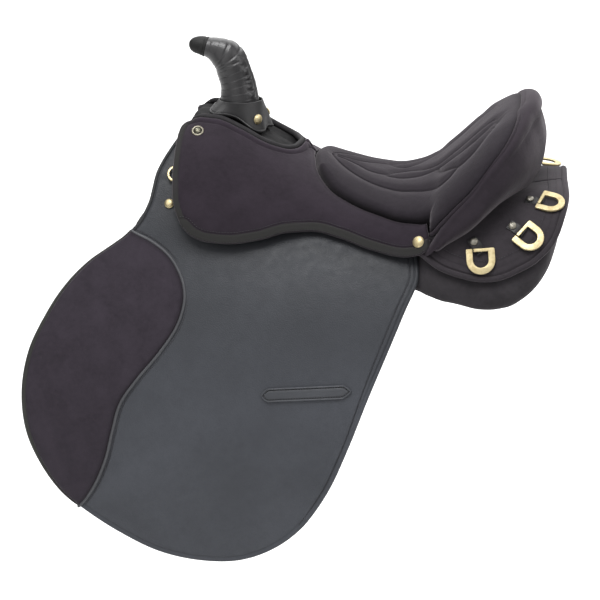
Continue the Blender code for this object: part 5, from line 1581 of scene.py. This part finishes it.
def strap_tail(name, place, half, mat, reach=.0200):
    """Folded strap that leaves the bar and lies under the screw."""
    side = [(.0041, .0002), (.0035, .0008), (.0030, .0002), (.0025, -.0013), (.0010, -.0025), (-.0014, -.0027),
            (-.0040, -.0021), (-.0070, -.0013), (-.0120, -.0012), (-reach + .001, -.0014), (-reach, -.0022),
            (-reach + .001, -.0032), (-.0090, -.0033), (-.0030, -.0039), (.0008, -.0039), (.0030, -.0026), (.0040, -.0006)]
    side = Path(side + side[:1], 5).p[:-1]
    w = np.array([-half, -half + .0003, -half + .0009, half - .0009, half - .0003, half])
    sc = np.array([.86, .95, 1., 1., .95, .86])
    c = side.mean(0)
    P = np.array([[(wi, c[0] + (y - c[0]) * (.94 + .06 * k), c[1] + (z - c[1]) * k) for y, z in side] for wi, k in zip(w, sc)])
    ob = rings(name, P, mat)
    ob.data.transform(place)
    return ob


def near(x, y, d):
    return skirt(x, -y, d)


# the third pair doesn't lie flush: the near one leans outwards, the far one is nearly level
DEE_TILT = {("left", 3): radians(6), ("right", 3): radians(-21)}
for i, spot in enumerate(REAR_DEES):
    n_ = i + 1
    for side_name in ("left", "right"):
        tilt = DEE_TILT.get((side_name, n_), 0.0)
        flat, seat_ = dee_place(spot, near)
        up_ = Matrix.Translation((0, 0, .0028 if tilt < 0 else 0))
        ring = plate("dee_left_%d" % n_, dee_outlines(), DEE_THICK / 2, .0007, M_BRASS, flat @ up_ @ Matrix.Rotation(tilt, 4, "Y"))
        v = seat_.inverted() @ Vector(near(*spot[2], LIFT))
        aim = Matrix.Rotation(np.arctan2(v.x, -v.y), 4, "Z")
        strap = strap_tail("dee_strap_left_%d" % n_, seat_ @ up_ @ Matrix.Rotation(tilt * .6, 4, "Y") @ aim, .0064, M_STRAP)
        screw = slotted("dee_screw_left_%d" % n_, seat_ @ aim @ Matrix.Translation((0, -.0138, -.0010)), M_NICKEL, .88, .5 + i)
        who = "%s_%d" % (side_name, n_)
        for ob, body, slot, nodes in ((ring, "rear_dee_" + who, "brass", ["rear_dee_" + who]),
                                      (strap, "root", "antique_brass", ["rear_dee_clip_" + who]),
                                      (screw, "root", "antique_brass", [])):
            if side_name == "right":
                other = mirrored(ob, ob.name.replace("_left", "_right"))
                bpy.data.objects.remove(ob, do_unlink=True)
                ob = other
            settle(ob, body, nodes)

# washers and studs on the jockeys
p = Vector(top(-.186, .325, .0014))
n = (Vector(top(-.186, .325, .01)) - Vector(top(-.186, .325, 0))).normalized()
n = (n + Vector((0, -.20, 0))).normalized()               # the washer sits a little crooked, as in the photograph
washer = [(0, 0), (.0076, 0), (.0080, .0004), (.0081, .0009), (.0078, .0015), (.0070, .0019), (.0062, .0019), (.0056, .0016),
          (.0053, .0010), (.0050, .0010), (.0044, .0016), (.0040, .0024), (.0030, .0032), (.0016, .0037), (0, .0038)]
ob = slotted("front_screw_left", placed(p, n, (1, 0, 0)), [M_RING, M_DARK, M_BOSS], 1.0, .7, washer,
             [0, 0, 0, 0, 0, 0, 0, 1, 1, 1, 2, 2, 2, 2])
pair(ob, "front_screw_{}", "root", ["jockey_front_screw_{}"])
p = Vector(top(.111, .865, .0008))
n = (Vector(top(.111, .865, .01)) - Vector(top(.111, .865, 0))).normalized()
stud = [(0, 0), (.0072, 0), (.0077, .0004), (.0077, .0009), (.0073, .0014), (.0069, .0019), (.0062, .0026), (.0053, .0032),
        (.0041, .0038), (.0028, .0042), (.0014, .0044), (0, .0045)]
ob = turned("rear_stud_left", placed(p, n, (1, 0, 0)), stud, M_BRASS)
pair(ob, "rear_stud_{}", "root", ["jockey_rear_stud_{}"])

# ---------------------------------------------------------------- flaps
KNEE_EDGE = [(-.2640, .0138), (-.2558, .0100), (-.234, .0005), (-.2085, -.0177), (-.191, -.0437), (-.1864, -.0664),
             (-.1935, -.0959), (-.2154, -.1293), (-.243, -.1625), (-.2647, -.1939), (-.2753, -.2311), (-.2837, -.2653),
             (-.2963, -.2976), (-.3125, -.3250), (-.3225, -.3360)]
FOLD_DROP = np.array([0, 0, 1.])


def fold_ends(side):
    """Two points square to the fold line, either side of its middle."""
    a, b = Vector(FOLD_FRONT), Vector(FOLD_REAR)
    a.y *= side
    b.y *= side
    m, along = (a + b) / 2, (b - a).normalized()
    down = Vector((0, 0, -1))
    down = (down - along * down.dot(along)).normalized()
    return m - down * .009, m + down * .009


def across_fold(ob, side_name, nodes=()):
    """Bake a piece of the flap into place and hide the nodes that it stands for."""
    s, e = fold_ends(-1 if side_name == "left" else 1)
    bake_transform(ob)
    if nodes:
        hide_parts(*nodes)


def uneven(length, r, fine_to, fine, coarse):
    """Shares of a length, close together near both ends."""
    e = list(np.array([0, .04, .14, .32, .6, 1.]) * r)
    while e[-1] < fine_to:
        e.append(e[-1] + fine)
    step = fine
    while step < coarse:
        step = min(coarse, step * 1.35)
        e.append(e[-1] + step)
    e = np.array(e)
    mid = np.linspace(e[-1], length - e[-1], max(2, int((length - 2 * e[-1]) / coarse)))
    return np.concatenate([e, mid[1:-1], (length - e)[::-1]]) / length


def trim(z, amount):
    """How far the off flap's upper front edge is drawn back."""
    return amount * np.interp(-z, [-.095, -.075, -.055, -.02, .02, .045, .09, .16, .22], [0, .15, .37, .45, .75, 1, 1, .45, 0])


def flap_skin(name, amount):
    front = Path([(x + trim(z, amount), z) for x, z in STRIP_FRONT + FLAP_FRONT_EDGE])
    rear = Path([(.108, -.004), (.1112, -.018), *FLAP_REAR_EDGE])
    fmap = coons(Path(STRIP_TOP), Path(FLAP_BOTTOM), front, rear)
    U, V = grid(uneven(.40, .0025, .0135, .00075, .0040), uneven(.47, .0025, .0135, .00075, .0040))
    P = fmap(U, V)
    x, z = P[..., 0], P[..., 1]
    mid = flap(x, z, 0)
    s_front, s_rear = near_line(mid, mid[0]), near_line(mid, mid[-1])
    s_top, s_bot = near_line(mid, mid[:, 0]), near_line(mid, mid[:, -1])
    s = np.minimum.reduce([s_front, s_rear, s_top, s_bot])
    r = rounded(s, .0025)
    up_front = blend(-.004, .022, z)                      # the part above the knee pad
    ga = dent(s_rear, .0053, .0008) * (1 - blend(-.12, -.22, z)) * blend(.001, .006, s_bot)
    at = .0112 - .0040 * (1 - blend(-.25, -.10, z))
    gb = dent(s_rear, at, .0009) * blend(.012, .03, s_bot)
    gc = .45 * dent(s_bot, .0072, .0010) * blend(.004, .012, s_front)
    gd = dent(s_front, .0056, .0011) * up_front
    ge = .6 * dent(s_front, .0064, .0009) * (1 - up_front)
    cut = np.maximum.reduce([ga, gb, gc, gd, ge])
    # painted shadow close under the jockey's edge, and painted shade towards the top of the flap
    lw, fe = np.array(Path(LOWER)(np.linspace(0, 1, 90))), np.array(front_edge(np.linspace(0, 1, 50)))
    ln = np.concatenate([fe, lw])
    d_j = near_line(mid, top(ln[:, 0], np.minimum(1.0, ln[:, 1]), 0))
    painted_shade = np.minimum(1, .70 * np.exp(-(d_j / .023) ** 1.7) + .22 * np.exp(-(d_j / .055) ** 2) + .52 * blend(-.20, -.06, z))
    roll = .0006 * np.clip(1 - (2 * np.minimum(s_rear, s_bot) / .0053 - 1) ** 2, 0, 1) * (np.minimum(s_rear, s_bot) < .0053)
    roll = np.maximum(roll, .0008 * np.clip(1 - (2 * s_front / .0056 - 1) ** 2, 0, 1) * (s_front < .0056) * up_front)
    soft = .0007 * wander(mid, .13, 61) * (1 - np.exp(-s / .03))
    up = flap(x, z, .0025 * r + roll + soft - .0010 * cut)
    low = flap(x, z, -.0025 * r + soft - .0004 * dent(s, .006, .001))
    wear_and_highlight = np.maximum.reduce([.55 * np.exp(-(np.minimum(s_rear, s_bot) / .0016) ** 2), .30 * np.exp(-((s_rear - .0030) / .0016) ** 2),
                              .22 * np.clip(wander(mid, .09, 63), 0, 1)])
    band = (s_front < .0050) * up_front
    # the painted shade darkens the leather and keeps the paler rubbed marks out of it
    ob = two_faced(name, up, low, M_FLAP, attrs={"seam_and_shade": np.maximum(cut, painted_shade), "wear_and_highlight": wear_and_highlight * (1 - .8 * np.clip(painted_shade, 0, 1)), "band": band * 1.})
    rows = []
    for S, place, lo in ((s_rear, at, 30), ):
        pts, nr = [], []
        n_ = normals_of(up)
        for j in range(12, up.shape[1] - 24):
            row = S[:, j] - place[:, j]
            hit = np.nonzero(row[:-1] * row[1:] <= 0)[0]
            if len(hit):
                i = hit[-1]
                kk = row[i] / (row[i] - row[i + 1] + 1e-15)
                pts.append(up[i, j] * (1 - kk) + up[i + 1, j] * kk)
                nr.append(n_[i, j])
        nr = np.array(nr)
        if nr[:, 1].mean() > 0:
            nr = -nr
        rows.append(stitches("row", np.array(pts), nr, M_THREAD_DARK, .0034, .0025, .00040))
    return ob, rows


PAD_LIFT = .0026


def knee_parts(amount):
    """The pad, the piping on its S-shaped edge and the binding on its front edge."""
    fr = [(x + trim(z, amount), z) for x, z in [(-.2640, .0138)] + FLAP_FRONT_EDGE + [(-.3225, -.3360)]]
    s_line = Path([(x + trim(z, amount) * (1, .8, .45, .15, 0)[min(k, 4)], z) for k, (x, z) in enumerate(KNEE_EDGE)])
    f_line = Path(fr)
    us, vs = uneven(.16, .0035, .010, .0009, .0028), uneven(.45, .0030, .010, .0010, .0028)
    U, V = grid(us, vs)
    a, b = f_line(V), s_line(V)
    # a little inside both lines, and never narrower than 3 mm
    w = np.linalg.norm(b - a, axis=-1)
    fa, fb = np.clip(.0034 / np.maximum(w, .008), 0, .42), np.clip(.0014 / np.maximum(w, .008), 0, .30)
    share = fa + (1 - fa - fb) * U
    P = a * (1 - share[..., None]) + b * share[..., None]
    x, z = P[..., 0], P[..., 1]
    mid = flap(x, z, .0025)
    s_f, s_s = near_line(mid, mid[0]), near_line(mid, mid[-1])
    s = np.minimum.reduce([s_f, s_s, near_line(mid, mid[:, 0]), near_line(mid, mid[:, -1])])
    h = (.0034 * rounded(s, .0042) + .0040 * (1 - np.exp(-s / .020)) + .0005 * wander(mid, .07, 71) * (1 - np.exp(-s / .02))
         + .00012 * wander(mid, .022, 72) * (1 - np.exp(-s / .03)))
    up = flap(x, z, PAD_LIFT + h)
    low = flap(x, z, PAD_LIFT + 0 * h)
    # painted shade on the pad along its S-shaped edge, where it falls away to the piping, and less along its front edge
    seam_and_shade = np.maximum(np.exp(-(s_s / .0040) ** 2), .6 * np.exp(-(s_f / .0030) ** 2))
    wear_and_highlight = .30 * np.clip(wander(mid, .05, 73), 0, 1) * (1 - np.exp(-s / .01))
    pad = two_faced("knee_pad_skin_left", up, low, M_KNEE, attrs={"seam_and_shade": seam_and_shade, "wear_and_highlight": wear_and_highlight})
    k = np.linspace(.008, 1, 260)
    q = s_line(k)
    n_ = flap(q[:, 0], q[:, 1], .01) - flap(q[:, 0], q[:, 1], 0)
    pipe = tube("knee_piping_left", flap(q[:, 0], q[:, 1], .0034), .0021, M_PIPING, 12, normals=n_)
    k = np.linspace(0, 1, 260)
    q = f_line(k)
    tan = np.gradient(q, axis=0)
    tan /= np.linalg.norm(tan, axis=1, keepdims=True)
    inward = np.stack([-tan[:, 1], tan[:, 0]], 1)
    inward *= np.sign((inward * (np.array([-.26, -.18]) - q)).sum(1))[:, None]
    rad = .0019 + .0022 * blend(.10, .52, k) * (1 - blend(.68, 1.0, k))
    q = q + inward * (rad * .62)[:, None]
    n_ = flap(q[:, 0], q[:, 1], .01) - flap(q[:, 0], q[:, 1], 0)
    bind = tube("knee_binding_left", flap(q[:, 0], q[:, 1], .0014), rad, M_BIND_KNEE, 16, flat=1.18, normals=n_)
    # dark seam just outside the piping, sewn through the flap
    k = np.linspace(.012, .985, 420)
    q = s_line(k)
    tan = np.gradient(q, axis=0)
    tan /= np.linalg.norm(tan, axis=1, keepdims=True)
    outward_ = -np.stack([-tan[:, 1], tan[:, 0]], 1)
    outward_ *= np.sign((outward_ * (q - np.array([-.30, -.16]))).sum(1))[:, None]
    q = q + outward_ * .0043
    pts = flap(q[:, 0], q[:, 1], .0026) + 0
    n_ = flap(q[:, 0], q[:, 1], .01) - flap(q[:, 0], q[:, 1], 0)
    row = stitches("row", pts, n_, M_THREAD_DARK, .0032, .0026, .00042)
    return pad, pipe, bind, row


M_BIND_KNEE = grained("knee_binding", (.0290, .0290, .0265), rough=.6, spec=.28, pebble=900, depth=.0003)


def strap_keeper():
    """Long patch pointed at both ends: raised rim, sewn groove, flat middle."""
    x0, x1 = -.0822, .0338
    us = uneven(.116, .0013, .010, .0005, .0016)
    vs = uneven(.017, .0011, .0040, .00035, .0008)
    U, V = grid(us, vs)
    xx = x0 + (x1 - x0) * U
    zc = -.1764 + .0098 * U
    end = np.minimum(xx - x0, x1 - xx)
    point = 1.35 + .95 * (xx < (x0 + x1) / 2)
    hh = .0088 * (1 - .90 * np.clip(1 - end / .0115, 0, 1) ** point)
    zz = zc + hh * (2 * V - 1)
    mid = flap(xx, zz, .0035)
    s = np.minimum.reduce([near_line(mid, mid[0]), near_line(mid, mid[-1]), near_line(mid, mid[:, 0]), near_line(mid, mid[:, -1])])
    r = rounded(s, .0012)
    roll = .0010 * np.clip(1 - (2 * s / .0026 - 1) ** 2, 0, 1) * (s < .0026)
    g = dent(s, .0030, .0006)
    up = flap(xx, zz, .0027 + .0018 * r + roll - .0011 * g + .0004 * np.clip((s - .0036) / .002, 0, 1))
    low = flap(xx, zz, .0027 + 0 * s)
    ob = two_faced("keeper_left", up, low, M_KEEPER, attrs={"seam_and_shade": g, "wear_and_highlight": .5 * np.exp(-((s - .0012) / .0008) ** 2)})
    rows = []
    n_ = normals_of(up)
    if n_[..., 1].mean() > 0:
        n_ = -n_
    ring_p, ring_n = [], []
    tgt = .0034
    top_, bot = [], []
    for i in range(len(us)):
        for rev in (False, True):
            row = s[i] - tgt
            hit = np.nonzero(row[:-1] * row[1:] <= 0)[0]
            if len(hit):
                j = hit[-1] if rev else hit[0]
                kk = row[j] / (row[j] - row[j + 1] + 1e-15)
                (top_ if rev else bot).append((up[i, j] * (1 - kk) + up[i, j + 1] * kk, n_[i, j]))
    for line in (top_, bot):
        rows.append(stitches("row", np.array([p for p, n in line]), np.array([n for p, n in line]), M_THREAD, .0034, .0024, .00034))
    return ob, joined_piece("keeper_stitching_left", rows)


for side_name, amount in (("left", 0.0), ("right", .027)):
    skin, rows = flap_skin("flap_skin_left", amount)
    pad, pipe, bind, row = knee_parts(amount)
    sewing = joined_piece("flap_stitching_left", rows + [row])
    made = [(skin, "smooth_leather", ["flap_{}", "flap_top_{}"], .0), (pad, "suede", ["knee_pad_{}"], .7),
            (pipe, "binding", [], None), (bind, "binding", [], None), (sewing, "smooth_leather", [], None)]
    for ob, slot, nodes, fill in made:
        if side_name == "right":
            other = mirrored(ob, ob.name.split(".")[0].replace("_left", "_right"))
            bpy.data.objects.remove(ob, do_unlink=True)
            ob = other
        across_fold(ob, side_name, [n.format(side_name) for n in nodes])

ob, st = strap_keeper()
pair(ob, "keeper_{}", "flap_{}", ["strap_keeper_{}"])
pair(st, "keeper_stitching_{}", "flap_{}", [])

# ---------------------------------------------------------------- sweat flaps and billets
sweat_map = coons(Path([(-.2480, .014), (-.200, .022), (-.15, .018), (-.10, .010), (-.04, .002), (.02, -.006), (.082, -.016)]),
                  Path([(-.3170, -.3120), (-.2600, -.3480), (-.2100, -.3680), (-.160, -.3760), (-.1100, -.3720),
                        (-.0700, -.3560), (-.0400, -.3280)]),
                  Path([(-.2480, .014), (-.2560, .002), (-.2790, -.0200), (-.3110, -.0510), (-.3390, -.0880), (-.3590, -.1325),
                        (-.3660, -.1831), (-.3620, -.2330), (-.3440, -.2760), (-.3170, -.3120)]),
                  Path([(.082, -.016), (.074, -.060), (.058, -.110), (.036, -.170), (.012, -.235), (-.010, -.285),
                        (-.0400, -.3280)]))


def sweat_flap():
    U, V = grid(uneven(.38, .0015, .010, .0010, .0055), uneven(.38, .0015, .010, .0010, .0055))
    P = sweat_map(U, V)
    x, z = P[..., 0], P[..., 1]
    mid = flap(x, z, -.015)
    s = np.minimum.reduce([near_line(mid, mid[0]), near_line(mid, mid[-1]), near_line(mid, mid[:, 0]), near_line(mid, mid[:, -1])])
    r = rounded(s, .0015)
    g = dent(s, .0065, .0009)
    soft = .0006 * wander(mid, .11, 81) * (1 - np.exp(-s / .03))
    up = flap(x, z, -.015 + .0015 * r + soft - .0006 * g)
    low = flap(x, z, -.015 - .0015 * r + soft + .0004 * g)
    ob = two_faced("sweat_flap_skin_left", up, low, M_INNER, attrs={"seam_and_shade": g, "wear_and_highlight": np.maximum(.6 * np.exp(-(s / .0014) ** 2),
                                                                                               .3 * np.clip(wander(mid, .06, 83), 0, 1))})
    pair(ob, "sweat_flap_skin_{}", "root", ["sweat_flap_{}"])


sweat_flap()


def billet(name, xc):
    """Girth strap: doubled leather with a sewn edge, a rounded tip and a row of holes."""
    U, V = grid(uneven(BILLET_WIDTH, .0012, .0046, .0006, .0016), uneven(.294, .0018, .008, .0010, .0035))
    tip = np.clip((.014 - (1 - V) * .294) / .014, 0, 1)
    width = BILLET_WIDTH * (1 - .62 * tip ** 2.2)
    x = xc + width * (U - .5)
    z = .004 - .294 * V
    mid = flap(x, z, -.0085)
    s = np.minimum.reduce([near_line(mid, mid[0]), near_line(mid, mid[-1]), near_line(mid, mid[:, 0]), near_line(mid, mid[:, -1])])
    r = rounded(s, .0012)
    holes = [.004 - .294 * v for v in (.55, .62, .69, .76, .83, .90)]
    # the holes are shallow dents coloured dark: painted shade in place of the holes
    hole = np.zeros_like(s)
    for hz in holes:
        d = np.hypot(x - xc, z - hz)
        hole = np.maximum(hole, 1 - blend(.0019, .0030, d))
    g = dent(s, .0034, .0006)
    up = flap(x, z, -.0085 + .0018 * r - .0005 * g - .0004 * hole)
    low = flap(x, z, -.0085 - .0018 * r + .0004 * g)
    ob = two_faced(name + "_strap_left", up, low, M_STRAP, attrs={"seam_and_shade": np.maximum(g, hole), "wear_and_highlight": .6 * np.exp(-(s / .0012) ** 2)})
    # each eyelet's inside and floor are black: painted shade inside the hole
    eye = [(.0030, -.0004), (.0031, .0002), (.0028, .0007), (.0023, .0008), (.0019, .0004), (.0018, -.0006), (0, -.0007)]
    rims = []
    for hz in holes:
        p, p2 = Vector(flap(xc, hz, -.0085 + .0018)), Vector(flap(xc, hz, 0))
        rims.append(turned("rim", placed(p, p2 - p, (0, 0, 1)), eye, [M_OLD, M_DARK], 24, [0, 0, 0, 0, 1, 1]))
    eyes = joined_piece(name + "_eyelets_left", rims)
    pair(ob, name + "_strap_{}", name + "_{}", [name + "_{}"])
    pair(eyes, name + "_eyelets_{}", name + "_{}", [])


billet("billet_front", -.110)
billet("billet_rear", -.030)


# ---------------------------------------------------------------- small dee and stud on the upper front leather
def front_surf(x, z, d):
    return flap(x, z, d + .0025)


flat, seat_ = dee_place(((-.2012, .0795), (-.2332, .0745)), lambda x, z, d: front_surf(x, z, d + (.0006 if abs(d - .0040) < 1e-6 else 0)))
ob = plate("front_ring_left", dee_outlines(FRONT_SCALE, .0048), DEE_THICK / 2, .0006, M_BRASS, flat)
pair(ob, "front_ring_{}", "front_dee_{}", ["front_dee_{}"])
ob = strap_tail("front_ring_strap_left", seat_, .0042, M_STRAP, .0190)
pair(ob, "front_ring_strap_{}", "root", ["front_dee_clip_{}"])
ob = slotted("front_ring_screw_left", seat_ @ Matrix.Translation((0, -.0130, -.0010)), M_OLD, .7, .4)
pair(ob, "front_ring_screw_{}", "root", [])
p = Vector(front_surf(-.2149, .0459, .0004))
n = (Vector(front_surf(-.2149, .0459, .01)) - Vector(front_surf(-.2149, .0459, 0))).normalized()
small = [(0, 0), (.0058, 0), (.0062, .0003), (.0063, .0008), (.0060, .0013), (.0053, .0017), (.0051, .0021), (.0046, .0028),
         (.0034, .0034), (.0018, .0037), (0, .0038)]
ob = turned("front_stud_dome_left", placed(p, n, (1, 0, 0)), small, M_BRASS)
pair(ob, "front_stud_dome_{}", "root", ["front_stud_{}"])
